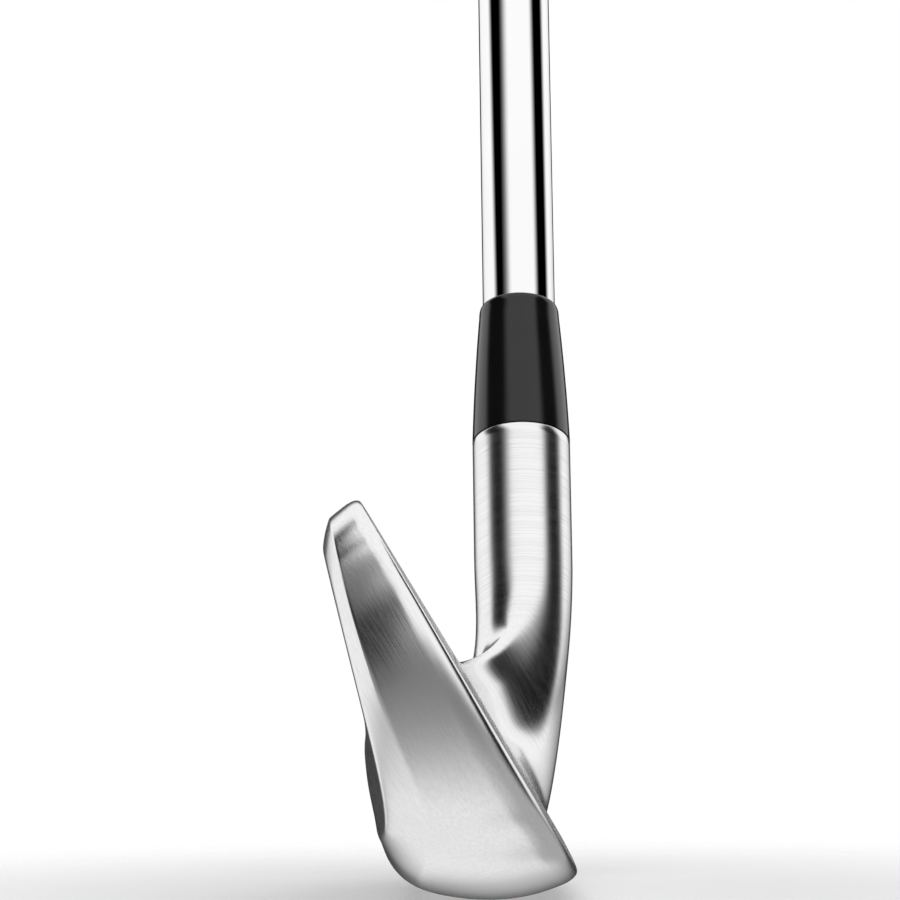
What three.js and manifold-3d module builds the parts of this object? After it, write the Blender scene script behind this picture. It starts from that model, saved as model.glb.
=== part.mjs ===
// Iron golf club, right-handed, at address: sole on the ground, shaft leaning back to the hands.
// Millimetres. +X points at the target, +Y from toe to heel, +Z up.
// The origin is where the sole touches the ground, under the middle of the face.
import * as THREE from "three";
import { mergeVertices } from "three/addons/utils/BufferGeometryUtils.js";
import Module from "manifold-3d";

const wasm = await Module();
wasm.setup();

// ---------------------------------------------------------------- driving dimensions

const LOFT = THREE.MathUtils.degToRad(30); // face from vertical
const LIE = THREE.MathUtils.degToRad(63); // shaft from the ground
const CLUB_LENGTH = 940; // ground to grip end, along the shaft axis

const FACE_GROUND_X = 12.3; // where the face plane would meet the ground
const AXIS_X = 5.1; // shaft axis
const AXIS_GROUND_Y = 35; // where the shaft axis meets the ground

const HOSEL_R = 6.3;
const HOSEL_TOP = 61; // along the axis from the ground
const NECK_TOP = 42; // where the neck has become the round hosel
const BORE_DEPTH = 28;

const SHAFT_TIP_R = 4.7;
const SHAFT_BUTT_R = 7.62;
const SHAFT_WALL_TIP = 0.95;
const SHAFT_WALL_BUTT = 0.55;
const FIRST_STEP = 236; // along the axis from the ground
const STEP_PITCH = 44.45;
const STEP_COUNT = 11;
const STEP_SLOPE_LENGTH = 2.2;

const GLUE_GAP = 0.05; // clearance on each side of a thin layer
const EPOXY_THICKNESS = 0.12;
const TAPE_THICKNESS = 0.3;
const END_GAP = 0.3; // clearance between pieces that meet end to end

const FERRULE_LENGTH = 19.5;
const FERRULE_TOP_WALL = 0.45;
const FERRULE_SHOULDER = 1.3;
const FERRULE_BARREL = 0.12; // how far its side swells past a straight cone

const WEIGHT_FLANGE = 1.5;
const WEIGHT_LENGTH = 20;
const WEIGHT_CLEARANCE = 0.1;

const LABEL_LENGTH = 36;
const LABEL_THICKNESS = 0.12;

const GRIP_LENGTH = 267;
const GRIP_MOUTH_WALL = 0.9;
const GRIP_BUTT_WALL = 4.9;
const CAP_OVERHANG = 0.6; // how far the cap stands out beyond the sleeve's butt
const CAP_THICKNESS = 4.2;
const CAP_SPIGOT = 6;
const VENT_R = 1.6;
const TAPE_SEAM = 0.08; // radians left open where the tape's edges meet

const ROUND = 48; // facets round a turned piece

// ---------------------------------------------------------------- the blade's shape

// Back of the blade, as a depth behind the face plane: a thin top that thickens to the sole.
const BACK_AT_TOP = 6.1;
const BACK_TOP_S = 53.7;
const BACK_SLOPE = 0.295;
const BACK_FLARE = 0.02; // the trailing edge stands steeper
const BACK_FLARE_S = 24;
const MUSCLE_RISE = 1.8;
const MUSCLE_TOE_Y = -36;
const MUSCLE_HEEL_Y = 30;
const MUSCLE_FADE = 9;
const MUSCLE_FULL_S = 25;
const MUSCLE_TOP_S = 36.5;
const CAVITY_FLOOR = 2.9;
const CAVITY_FLOOR_SLOPE = 0.05;

// The rim, from the heel end of the sole round the toe to the heel end of the topline.
// y, s: the corner of face and rim, s measured up the face. fall: the rim's slope going back.
// edge: rounding at the face. crown: swell of the rim. run, inset: the rear chamfer, along the
// rim and along the back. round: 0 leaves that chamfer flat and 1 rounds it fully.
const RIM = [
  { y: 27, s: 4.8, fall: -1, edge: 2.6, crown: 2.9, run: 5, inset: 6, round: 1 },
  { y: 12, s: 3.75, fall: 0, edge: 2.2, crown: 3.1, run: 5, inset: 6, round: 1 },
  { y: -4, s: 3.6, fall: 0, edge: 2.0, crown: 3.2, run: 5, inset: 6, round: 1 },
  { y: -18, s: 4.5, fall: 1, edge: 2.0, crown: 2.8, run: 4.8, inset: 5.4, round: 0.9 },
  { y: -28.5, s: 7.4, fall: 5, edge: 2.7, crown: 1.8, run: 4.6, inset: 4.2, round: 0.5 },
  { y: -36, s: 12.8, fall: 12, edge: 3.3, crown: 0.9, run: 4.7, inset: 3, round: 0.2 },
  { y: -40.4, s: 20.8, fall: 21, edge: 3.5, crown: 0.4, run: 3.9, inset: 2.3, round: 0.1 },
  { y: -42.8, s: 30.5, fall: 28, edge: 2.6, crown: 0.25, run: 2.8, inset: 2.1, round: 0.1 },
  { y: -43.4, s: 40.5, fall: 31, edge: 1.9, crown: 0.2, run: 1.9, inset: 2.0, round: 0.1 },
  { y: -42.0, s: 48.2, fall: 33, edge: 1.7, crown: 0.2, run: 1.6, inset: 2.2, round: 0.2 },
  { y: -37.6, s: 53.6, fall: 36, edge: 1.6, crown: 0.2, run: 1.8, inset: 2.2, round: 0.2 },
  { y: -30.4, s: 55.4, fall: 38, edge: 1.6, crown: 0.2, run: 1.8, inset: 2.2, round: 0.3 },
  { y: -21, s: 53.0, fall: 38, edge: 1.5, crown: 0.2, run: 2.0, inset: 2.2, round: 0.3 },
  { y: -4, s: 45.5, fall: 38, edge: 1.5, crown: 0.2, run: 2.2, inset: 2.3, round: 0.4 },
  { y: 12, s: 38.9, fall: 38, edge: 1.7, crown: 0.3, run: 2.4, inset: 2.4, round: 0.6 },
  { y: 27, s: 33.4, fall: 37, edge: 2.2, crown: 0.5, run: 2.8, inset: 2.6, round: 0.9 },
];
const CORNER_LOW = 5.2; // station where the sole gives way to the toe
const CORNER_HIGH = 10.4; // station where the toe gives way to the topline

// Shares of the blade's height and length where lines of the surface run.
const ROWS = [
  0, 0.05, 0.13, 0.23, 0.33, 0.42, 0.475, 0.5, 0.53, 0.56, 0.62, 0.72, 0.82, 0.86, 0.9, 0.95, 1,
];
const COLUMNS = [
  0, 0.06, 0.1, 0.135, 0.17, 0.24, 0.34, 0.44, 0.54, 0.64, 0.73, 0.8, 0.835, 0.87, 0.92, 0.97, 1,
];
const CAVITY_ROWS = [0.42, 0.53, 0.86, 0.92];
const CAVITY_COLUMNS = [0.08, 0.17, 0.79, 0.89];
const CROWN_SKEW = 0.85; // under 1 moves the rim's highest swell towards the face
const FACE_EDGE_SHARE = 0.5; // the edge's rounding is this much narrower on the face
const EDGE_STEPS = 4;
const WALL_STEPS = 5;
const CHAMFER_STEPS = 3;
const NECK_STEPS = 12;
const NECK_BLADE_PULL = 0.74; // how far each neck line follows the blade before it turns
const NECK_HOSEL_PULL = 0.82; // how far down each neck line has already turned into the hosel
const NECK_SHIFT = 0.92; // share of a neck line in which it moves from blade to hosel, target-wise
const NECK_FILLET = 6; // size of the hollow between the face plane and the round neck
const NECK_FILLET_LINES = [15, 24]; // neck lines, from the sole's, over which the hollow fades out
const NECK_FILLET_RIBS = 4; // the same, round under the sole
const NECK_FILLET_Z = [19, 31]; // heights between which the hollow reaches its full depth
const NECK_FILLET_LOW = 0.2; // share of it that is left below those
const NECK_FILLET_ENDS = [0.15, 0.85]; // shares of a neck line at which it has started and ends
const NECK_TAPER = 0.2; // how much slimmer the round neck is at the bottom
const NECK_TAPER_Z = [6, 36]; // heights between which it tapers
const NECK_SIDE_DROP = 1.8; // steepness of the neck's side past its round section
const NECK_EVEN_PASSES = 30; // times each ring of the neck is evened out
const NECK_TWIST = THREE.MathUtils.degToRad(12.9); // turn of the neck lines' ends round the hosel

// Score lines
const SCORE_COUNT = 9;
const SCORE_PITCH = 3.3;
const SCORE_FIRST_S = 6.6;
const SCORE_WIDTH = 0.8;
const SCORE_DEPTH = 0.45;
const SCORE_TOE_Y = -24;
const SCORE_HEEL_Y = 19;

// ---------------------------------------------------------------- materials

const material = (color, roughness, metalness) =>
  new THREE.MeshStandardMaterial({ color, roughness, metalness });
const satinSteel = material(0xc9c9cb, 0.28, 1);
const chrome = material(0xe6e6e8, 0.05, 1);
const blackPlastic = material(0x111112, 0.22, 0);
const blackRubber = material(0x1b1b1c, 0.78, 0);
const brass = material(0xb5924c, 0.35, 1);
const epoxy = material(0xb9ae8e, 0.5, 0);
const tape = material(0xd8d2c2, 0.8, 0);
const silverFoil = material(0x9b9ca0, 0.4, 0.6);

// ---------------------------------------------------------------- helpers

const smooth = (low, high, v) => THREE.MathUtils.smoothstep(v, low, high);
const lerp = THREE.MathUtils.lerp;
const range = (n) => Array.from({ length: n }, (_, i) => i);

// A turned piece about +Z. The profile is a closed list of [radius, height], outside going up.
function turned(profile) {
  const points = profile.map(([r, h]) => new THREE.Vector2(r, h));
  if (points[0].x > 0) points.push(points[0].clone());
  return new THREE.LatheGeometry(points, ROUND).rotateX(Math.PI / 2);
}

function solidOf(geometry) {
  const bare = new THREE.BufferGeometry();
  bare.setAttribute("position", geometry.getAttribute("position"));
  bare.setIndex(geometry.index);
  const merged = mergeVertices(bare, 1e-4);
  return new wasm.Manifold(
    new wasm.Mesh({
      numProp: 3,
      vertProperties: merged.getAttribute("position").array,
      triVerts: new Uint32Array(merged.index.array),
    }),
  );
}

function geometryOf(solid) {
  const { numProp, vertProperties, triVerts } = solid.getMesh();
  const position = new Float32Array((vertProperties.length / numProp) * 3);
  for (let i = 0; i < position.length / 3; i++)
    position.set(vertProperties.subarray(i * numProp, i * numProp + 3), i * 3);
  const geometry = new THREE.BufferGeometry();
  geometry.setAttribute("position", new THREE.BufferAttribute(position, 3));
  geometry.setIndex(new THREE.BufferAttribute(triVerts, 1));
  geometry.computeVertexNormals();
  return geometry;
}

function named(name, geometry, finish) {
  const mesh = new THREE.Mesh(geometry, finish);
  mesh.name = name;
  return mesh;
}

// ---------------------------------------------------------------- head: blade, neck and hosel

// A point of the blade: y along it, s up the face, p behind the face.
function bladePoint(y, s, p) {
  return new THREE.Vector3(
    FACE_GROUND_X - s * Math.sin(LOFT) - p * Math.cos(LOFT),
    y,
    s * Math.cos(LOFT) - p * Math.sin(LOFT),
  );
}

// Depth of the blade's back behind the face, before the cavity.
function backDepth(y, s) {
  const flare = Math.max(0, BACK_FLARE_S - s);
  const along =
    smooth(MUSCLE_TOE_Y - MUSCLE_FADE / 2, MUSCLE_TOE_Y + MUSCLE_FADE, y) *
    (1 - smooth(MUSCLE_HEEL_Y - MUSCLE_FADE, MUSCLE_HEEL_Y + MUSCLE_FADE, y));
  const up = 1 - smooth(MUSCLE_FULL_S, MUSCLE_TOP_S, s);
  const muscle = MUSCLE_RISE * along * up;
  return BACK_AT_TOP + BACK_SLOPE * (BACK_TOP_S - s) + BACK_FLARE * flare * flare + muscle;
}

// A number on the smooth curve through b and c.
function catmullRom(a, b, c, d, t) {
  const linear = (c - a) * t;
  const square = (2 * a - 5 * b + 4 * c - d) * t ** 2;
  const cube = (3 * b - a - 3 * c + d) * t ** 3;
  return 0.5 * (2 * b + linear + square + cube);
}

// The rim's values at a station number that may lie between two stations.
function rimAt(g) {
  const last = RIM.length - 1;
  const i = Math.min(Math.floor(g), last - 1);
  const near = [i - 1, i, i + 1, i + 2].map((k) => RIM[THREE.MathUtils.clamp(k, 0, last)]);
  return Object.fromEntries(
    Object.keys(RIM[0]).map((key) => [key, catmullRom(...near.map((r) => r[key]), g - i)]),
  );
}

// Station numbers at the given shares of the rim's length between two stations.
function spread(from, to, shares) {
  const steps = 400;
  const lengths = [0];
  for (let i = 1; i <= steps; i++) {
    const a = rimAt(lerp(from, to, (i - 1) / steps));
    const b = rimAt(lerp(from, to, i / steps));
    lengths.push(lengths[i - 1] + Math.hypot(b.y - a.y, b.s - a.s));
  }
  return shares.map((share) => {
    const wanted = share * lengths[steps];
    const i = Math.max(1, lengths.findIndex((l) => l >= wanted - 1e-9));
    const part = (wanted - lengths[i - 1]) / (lengths[i] - lengths[i - 1]);
    return lerp(from, to, (i - 1 + part) / steps);
  });
}

// A point of the quadratic curve from a to c that leans towards b.
function bezier(a, b, c, t) {
  return a
    .clone()
    .multiplyScalar((1 - t) * (1 - t))
    .addScaledVector(b, 2 * t * (1 - t))
    .addScaledVector(c, t * t);
}

// One line across the rim, from the face to the back.
function rib(g) {
  const r = rimAt(g);
  const before = rimAt(Math.max(0, g - 0.02));
  const after = rimAt(Math.min(RIM.length - 1, g + 0.02));
  const dy = after.y - before.y;
  const ds = after.s - before.s;
  const inward = new THREE.Vector2(ds, -dy).normalize(); // in y and s
  const corner = bladePoint(r.y, r.s, 0);
  const inFace = bladePoint(r.y + inward.x, r.s + inward.y, 0).sub(corner);
  const fall = THREE.MathUtils.degToRad(r.fall);
  const back = new THREE.Vector3(-Math.cos(fall), 0, -Math.sin(fall));
  const along = bladePoint(after.y, after.s, 0).sub(bladePoint(before.y, before.s, 0));
  const outward = along.cross(back).normalize();
  if (outward.dot(inFace) > 0) outward.negate();

  // length of the rim, where its straight line meets the back
  const tiltS = back.x * -Math.sin(LOFT) + back.z * Math.cos(LOFT);
  const tiltP = back.x * -Math.cos(LOFT) + back.z * -Math.sin(LOFT);
  let length = 0;
  for (let i = 0; i < 30; i++) length = backDepth(r.y, r.s + length * tiltS) / tiltP;

  const farCorner = corner.clone().addScaledVector(back, length);
  const farS = r.s + length * tiltS;
  const rearY = r.y + inward.x * r.inset;
  const rearS = farS + inward.y * r.inset;
  const rear = bladePoint(rearY, rearS, backDepth(rearY, rearS));
  const wallStart = corner.clone().addScaledVector(back, r.edge);
  const wallEnd = farCorner.clone().addScaledVector(back, -r.run);
  const faceStart = corner.clone().addScaledVector(inFace, r.edge * FACE_EDGE_SHARE);
  const pulled = wallEnd.clone().add(rear).multiplyScalar(0.5).lerp(farCorner, r.round);

  const points = [
    ...range(EDGE_STEPS).map((i) => bezier(faceStart, corner, wallStart, i / EDGE_STEPS)),
    ...range(WALL_STEPS).map((i) => wallStart.clone().lerp(wallEnd, i / WALL_STEPS)),
    ...range(CHAMFER_STEPS + 1).map((i) => bezier(wallEnd, pulled, rear, i / CHAMFER_STEPS)),
  ];
  // the crown swells every point by its place along the rim
  for (const point of points.slice(1, -1)) {
    const share = THREE.MathUtils.clamp(point.clone().sub(corner).dot(back) / length, 0, 1);
    const skewed = share ** CROWN_SKEW;
    point.addScaledVector(outward, r.crown * 4 * skewed * (1 - skewed));
  }
  return { points, rearY, rearS };
}

// Fills a patch from its four sides, given as functions of a row or column number.
function coons(low, high, heel, toe, c, q, j, r) {
  const last = { j: COLUMNS.length - 1, r: ROWS.length - 1 };
  const mix = (a, b, t) => a.map((v, i) => lerp(v, b[i], t));
  const ruledUp = mix(low(j), high(j), q);
  const ruledAlong = mix(heel(r), toe(r), c);
  const corners = mix(mix(low(0), high(0), q), mix(low(last.j), high(last.j), q), c);
  return ruledUp.map((v, i) => v + ruledAlong[i] - corners[i]);
}

// Depth of the back at a grid point, with the cavity sunk into it.
function backWithCavity(y, s, c, q) {
  const [lowOut, lowIn, highIn, highOut] = CAVITY_ROWS;
  const [heelOut, heelIn, toeIn, toeOut] = CAVITY_COLUMNS;
  const sunkUp = smooth(lowOut, lowIn, q) * (1 - smooth(highIn, highOut, q));
  const sunkAlong = smooth(heelOut, heelIn, c) * (1 - smooth(toeIn, toeOut, c));
  const floor = CAVITY_FLOOR + CAVITY_FLOOR_SLOPE * (BACK_TOP_S - s);
  return lerp(backDepth(y, s), floor, sunkUp * sunkAlong);
}

// Closed loops of points round the blade, from the heel to the toe, and the grid that closes the toe.
function bladeLoops() {
  const lastColumn = COLUMNS.length - 1;
  const end = RIM.length - 1;
  const low = spread(0, CORNER_LOW, COLUMNS).map(rib);
  const toe = spread(CORNER_LOW, CORNER_HIGH, ROWS).map(rib);
  const high = spread(end, CORNER_HIGH, COLUMNS).map(rib);

  const onFront = (ribs) => (i) => ribs[i].points[0].toArray();
  const onBack = (ribs) => (i) => [ribs[i].rearY, ribs[i].rearS];
  const straight = (side) => (r) => side(low)(0).map((v, i) => lerp(v, side(high)(0)[i], ROWS[r]));

  const fill = (side, j, r) =>
    coons(side(low), side(high), straight(side), side(toe), COLUMNS[j], ROWS[r], j, r);

  return COLUMNS.map((c, j) => {
    const front = ROWS.map((q, r) => new THREE.Vector3(...fill(onFront, j, r)));
    const rear = ROWS.map((q, r) => {
      const [y, s] = fill(onBack, j, r);
      return bladePoint(y, s, backWithCavity(y, s, c, q));
    });
    const closing = j === lastColumn ? toe : null;
    return { front, rear, low: low[j].points, high: high[j].points, closing };
  });
}

// One closed loop: up the face, back over the topline, down the back, forward under the sole.
function ringOf({ front, rear, low, high }) {
  const inner = (points) => points.slice(1, -1);
  return [...front, ...inner(high), ...rear.slice().reverse(), ...inner(low).reverse()];
}

// The larger of two numbers, with a round hollow where they are about the same.
function smoothMax(a, b, size) {
  const share = THREE.MathUtils.clamp(0.5 + (a - b) / (2 * size), 0, 1);
  return lerp(b, a, share) + size * share * (1 - share);
}

const facePlaneX = (z) => FACE_GROUND_X - z * Math.tan(LOFT);

// Front of the neck: the round hosel carried down, slimmer towards the ground, and the face plane.
function neckFrontX(reach, z) {
  const side = Math.abs(reach) - HOSEL_R;
  const size = 1 - NECK_TAPER * (1 - smooth(...NECK_TAPER_Z, z));
  const bulge = size * Math.sqrt(Math.max(0, HOSEL_R ** 2 - reach ** 2));
  const round = AXIS_X + (side < 0 ? bulge : -NECK_SIDE_DROP * side);
  return smoothMax(facePlaneX(z), round, NECK_FILLET);
}

function headGeometry() {
  const columns = bladeLoops();
  const blade = columns.map(ringOf);
  const count = blade[0].length;
  const axis = new THREE.Vector3(0, Math.cos(LIE), Math.sin(LIE));
  const across = new THREE.Vector3(0, -Math.sin(LIE), Math.cos(LIE)); // towards the toe
  const ground = new THREE.Vector3(AXIS_X, AXIS_GROUND_Y, 0);
  const frontCount = ROWS.length - 1;

  // round section of the hosel, with as many points as the blade's loop
  const hoselRing = (height) =>
    range(count).map((i) => {
      const angle = ((i - frontCount / 2) / count) * Math.PI * 2 + NECK_TWIST;
      return ground
        .clone()
        .addScaledVector(axis, height)
        .add(new THREE.Vector3(HOSEL_R * Math.cos(angle), 0, 0))
        .addScaledVector(across, HOSEL_R * Math.sin(angle));
    });

  // neck: each point leaves along the blade and arrives along the hosel
  const start = blade[0];
  const arriving = hoselRing(NECK_TOP);
  const lines = start.map((from, i) => {
    const leaving = from.clone().sub(blade[1][i]);
    leaving.x = 0;
    leaving.normalize();
    const to = arriving[i];
    // where the two directions cross, seen from the front
    const det = leaving.y * axis.z - leaving.z * axis.y;
    const reach = ((to.y - from.y) * axis.z - (to.z - from.z) * axis.y) / det;
    const first = from.clone().addScaledVector(leaving, Math.max(2, reach * NECK_BLADE_PULL));
    const meeting = from.clone().addScaledVector(leaving, reach);
    const second = to.clone().lerp(new THREE.Vector3(to.x, meeting.y, meeting.z), NECK_HOSEL_PULL);
    return new THREE.CubicBezierCurve3(from, first, second, to);
  });
  const neckPoint = (line, i, t) => {
    const point = line.getPoint(t);
    const straight = lerp(line.v0.x, line.v3.x, smooth(0, NECK_SHIFT, t));
    const reach = point.clone().sub(ground).dot(across);
    const started = smooth(0, NECK_FILLET_ENDS[0], t);
    const arrived = smooth(NECK_FILLET_ENDS[1], 1, t);
    const alongFace = line.v0.x + facePlaneX(point.z) - facePlaneX(line.v0.z);
    const hollow = lerp(lerp(alongFace, neckFrontX(reach, point.z), started), line.v3.x, arrived);
    const pastTop = smooth(...NECK_FILLET_LINES, i);
    const past = i < count / 2 ? pastTop : smooth(0, NECK_FILLET_RIBS, count - i);
    const share = (1 - past) * lerp(NECK_FILLET_LOW, 1, smooth(...NECK_FILLET_Z, point.z));
    return point.setX(lerp(straight, hollow, share));
  };
  const neck = range(NECK_STEPS).map((k) => {
    const t = (k + 1) / NECK_STEPS;
    const ring = lines.map((line, i) => neckPoint(line, i, t));
    const evened = Math.min(1, 4 * t, 4 * (1 - t));
    for (let pass = 0; pass < NECK_EVEN_PASSES; pass++) {
      const xs = ring.map((point) => point.x);
      ring.forEach((point, i) => {
        const mean = (xs[(i + count - 1) % count] + 2 * xs[i] + xs[(i + 1) % count]) / 4;
        point.setX(lerp(xs[i], mean, evened));
      });
    }
    return ring;
  });

  const rings = [...blade.slice().reverse(), ...neck, hoselRing(HOSEL_TOP)];
  const vertices = [];
  const triangles = [];
  const put = (point) => vertices.push(point.x, point.y, point.z) / 3 - 1;
  const ids = rings.map((ring) => ring.map(put));
  for (let k = 0; k + 1 < ids.length; k++)
    for (let i = 0; i < count; i++) {
      const n = (i + 1) % count;
      triangles.push(ids[k][i], ids[k + 1][n], ids[k][n]);
      triangles.push(ids[k][i], ids[k + 1][i], ids[k + 1][n]);
    }
  // flat top of the hosel
  const centre = put(ground.clone().addScaledVector(axis, HOSEL_TOP));
  const top = ids.at(-1);
  for (let i = 0; i < count; i++) triangles.push(top[(i + 1) % count], top[i], centre);
  // toe: the ribs side by side, sharing their outer points with the last loop
  const ribs = columns.at(-1).closing.map(({ points }) => points);
  const rows = ribs.length;
  const deep = ribs[0].length;
  const onLoop = (r, k) => {
    if (k === 0) return r;
    if (r === rows - 1) return rows - 1 + k;
    if (k === deep - 1) return rows + deep - 2 + (rows - 1 - r);
    if (r === 0) return 2 * rows + deep - 2 + (deep - 2 - k);
    return -1;
  };
  const toe = ribs.map((points, r) =>
    points.map((point, k) => (onLoop(r, k) < 0 ? put(point) : ids[0][onLoop(r, k)])),
  );
  for (let r = 0; r + 1 < rows; r++)
    for (let k = 0; k + 1 < deep; k++) {
      triangles.push(toe[r][k], toe[r + 1][k], toe[r + 1][k + 1]);
      triangles.push(toe[r][k], toe[r + 1][k + 1], toe[r][k + 1]);
    }

  const geometry = new THREE.BufferGeometry();
  geometry.setAttribute("position", new THREE.Float32BufferAttribute(vertices, 3));
  geometry.setIndex(triangles);
  return geometry;
}

function ironHead() {
  let head = solidOf(headGeometry());
  const boreR = SHAFT_TIP_R + 2 * GLUE_GAP + EPOXY_THICKNESS;
  const bore = new THREE.CylinderGeometry(boreR, boreR, BORE_DEPTH + 1, ROUND)
    .rotateX(Math.PI / 2)
    .translate(0, 0, HOSEL_TOP - BORE_DEPTH / 2 + 0.5);
  bore.applyMatrix4(shaftFrame.matrix);
  head = head.subtract(solidOf(bore)).trimByPlane([0, 0, 1], 0); // a small flat where the sole rests
  for (const i of range(SCORE_COUNT)) {
    const line = new THREE.BoxGeometry(SCORE_DEPTH * 2, SCORE_HEEL_Y - SCORE_TOE_Y, SCORE_WIDTH);
    line.rotateY(-LOFT);
    const middle = bladePoint((SCORE_HEEL_Y + SCORE_TOE_Y) / 2, SCORE_FIRST_S + i * SCORE_PITCH, 0);
    line.translate(middle.x, middle.y, middle.z);
    head = head.subtract(solidOf(line));
  }
  return geometryOf(head);
}

// ---------------------------------------------------------------- shaft and what is on it

// Outer radius of the shaft: a plain tip, then equal steps to the butt.
function shaftProfile(tip, butt) {
  const stepHeight = (SHAFT_BUTT_R - SHAFT_TIP_R) / STEP_COUNT;
  const outer = [[SHAFT_TIP_R, tip]];
  for (const i of range(STEP_COUNT)) {
    const at = FIRST_STEP + i * STEP_PITCH;
    outer.push([SHAFT_TIP_R + i * stepHeight, at]);
    outer.push([SHAFT_TIP_R + (i + 1) * stepHeight, at + STEP_SLOPE_LENGTH]);
  }
  outer.push([SHAFT_BUTT_R, butt]);
  const inner = [
    [SHAFT_BUTT_R - SHAFT_WALL_BUTT, butt],
    [SHAFT_BUTT_R - SHAFT_WALL_BUTT, FIRST_STEP + STEP_COUNT * STEP_PITCH],
    [SHAFT_TIP_R - SHAFT_WALL_TIP, FIRST_STEP],
    [SHAFT_TIP_R - SHAFT_WALL_TIP, tip],
  ];
  return [...outer, ...inner];
}

function ferruleProfile() {
  const bottom = HOSEL_TOP + END_GAP / 2;
  const inner = SHAFT_TIP_R + GLUE_GAP;
  const topR = inner + FERRULE_TOP_WALL;
  const side = range(7).map((i) => {
    const t = i / 6;
    const radius = lerp(HOSEL_R, topR, t) + FERRULE_BARREL * 4 * t * (1 - t);
    return [radius, bottom + t * (FERRULE_LENGTH - FERRULE_SHOULDER)];
  });
  const lip = inner + 0.12;
  return [
    ...side,
    [lerp(topR, lip, 0.35), bottom + FERRULE_LENGTH - FERRULE_SHOULDER * 0.3],
    [lip, bottom + FERRULE_LENGTH],
    [inner, bottom + FERRULE_LENGTH],
    [inner, bottom],
  ];
}

function tapeGeometry(inner, outer, from, to) {
  const shape = new THREE.Shape();
  const arc = (radius, start, stop, steps) =>
    range(steps + 1).map((i) => {
      const angle = lerp(start, stop, i / steps);
      return new THREE.Vector2(radius * Math.cos(angle), radius * Math.sin(angle));
    });
  const stop = Math.PI * 2 - TAPE_SEAM;
  shape.setFromPoints([...arc(outer, 0, stop, ROUND), ...arc(inner, stop, 0, ROUND)]);
  const settings = { depth: to - from, bevelEnabled: false };
  return new THREE.ExtrudeGeometry(shape, settings).translate(0, 0, from);
}

const club = new THREE.Group();
const shaftFrame = new THREE.Group();
shaftFrame.position.set(AXIS_X, AXIS_GROUND_Y, 0);
shaftFrame.rotation.x = LIE - Math.PI / 2;
shaftFrame.updateMatrix();
club.add(shaftFrame);

const boreBottom = HOSEL_TOP - BORE_DEPTH;
const shaftTip = boreBottom + END_GAP + WEIGHT_FLANGE + END_GAP;
const gripTop = CLUB_LENGTH;
const shaftButt = gripTop - CAP_THICKNESS - END_GAP;
const gripMouth = gripTop - GRIP_LENGTH;
const stepEnd = FIRST_STEP + (STEP_COUNT - 1) * STEP_PITCH + STEP_SLOPE_LENGTH;

club.add(named("iron_head", ironHead(), satinSteel));

shaftFrame.add(named("shaft", turned(shaftProfile(shaftTip, shaftButt)), chrome));

const epoxyIn = SHAFT_TIP_R + GLUE_GAP;
const epoxyOut = epoxyIn + EPOXY_THICKNESS;
shaftFrame.add(
  named(
    "hosel_epoxy_layer",
    turned([
      [epoxyOut, shaftTip],
      [epoxyOut, HOSEL_TOP - END_GAP],
      [epoxyIn, HOSEL_TOP - END_GAP],
      [epoxyIn, shaftTip],
    ]),
    epoxy,
  ),
);

const plugR = SHAFT_TIP_R - SHAFT_WALL_TIP - WEIGHT_CLEARANCE;
shaftFrame.add(
  named(
    "swing_weight_plug",
    turned([
      [0, boreBottom + END_GAP],
      [SHAFT_TIP_R - 0.2, boreBottom + END_GAP],
      [SHAFT_TIP_R - 0.2, boreBottom + END_GAP + WEIGHT_FLANGE],
      [plugR, boreBottom + END_GAP + WEIGHT_FLANGE],
      [plugR, shaftTip + WEIGHT_LENGTH - 2],
      [plugR * 0.7, shaftTip + WEIGHT_LENGTH],
      [0, shaftTip + WEIGHT_LENGTH],
    ]),
    brass,
  ),
);

shaftFrame.add(named("ferrule", turned(ferruleProfile()), blackPlastic));

// the label sits on the plain stretch between two steps
const labelStep = STEP_COUNT - 2;
const labelR = SHAFT_TIP_R + ((SHAFT_BUTT_R - SHAFT_TIP_R) / STEP_COUNT) * labelStep + GLUE_GAP;
const labelFrom = FIRST_STEP + (labelStep - 1) * STEP_PITCH + STEP_SLOPE_LENGTH + 3;
shaftFrame.add(
  named(
    "shaft_label_band",
    turned([
      [labelR + LABEL_THICKNESS, labelFrom],
      [labelR + LABEL_THICKNESS, labelFrom + LABEL_LENGTH],
      [labelR, labelFrom + LABEL_LENGTH],
      [labelR, labelFrom],
    ]),
    silverFoil,
  ),
);

const tapeIn = SHAFT_BUTT_R + GLUE_GAP;
const tapeOut = tapeIn + TAPE_THICKNESS;
shaftFrame.add(
  named(
    "grip_tape",
    tapeGeometry(tapeIn, tapeOut, Math.max(gripMouth + 4, stepEnd + 2), shaftButt),
    tape,
  ),
);

const gripBore = tapeOut + GLUE_GAP;
const mouthR = gripBore + GRIP_MOUTH_WALL;
const buttR = gripBore + GRIP_BUTT_WALL;
const capR = buttR + CAP_OVERHANG;
shaftFrame.add(
  named(
    "grip_sleeve",
    turned([
      [mouthR - 0.4, gripMouth],
      [mouthR, gripMouth + 1.2],
      [lerp(mouthR, buttR, 0.42), gripMouth + GRIP_LENGTH * 0.45],
      [lerp(mouthR, buttR, 0.72), gripMouth + GRIP_LENGTH * 0.78],
      [buttR, gripTop - CAP_THICKNESS - END_GAP - CAP_SPIGOT],
      [buttR + 0.2, gripTop - CAP_THICKNESS - END_GAP],
      [gripBore, gripTop - CAP_THICKNESS - END_GAP],
      [gripBore, gripMouth],
    ]),
    blackRubber,
  ),
);

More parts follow.
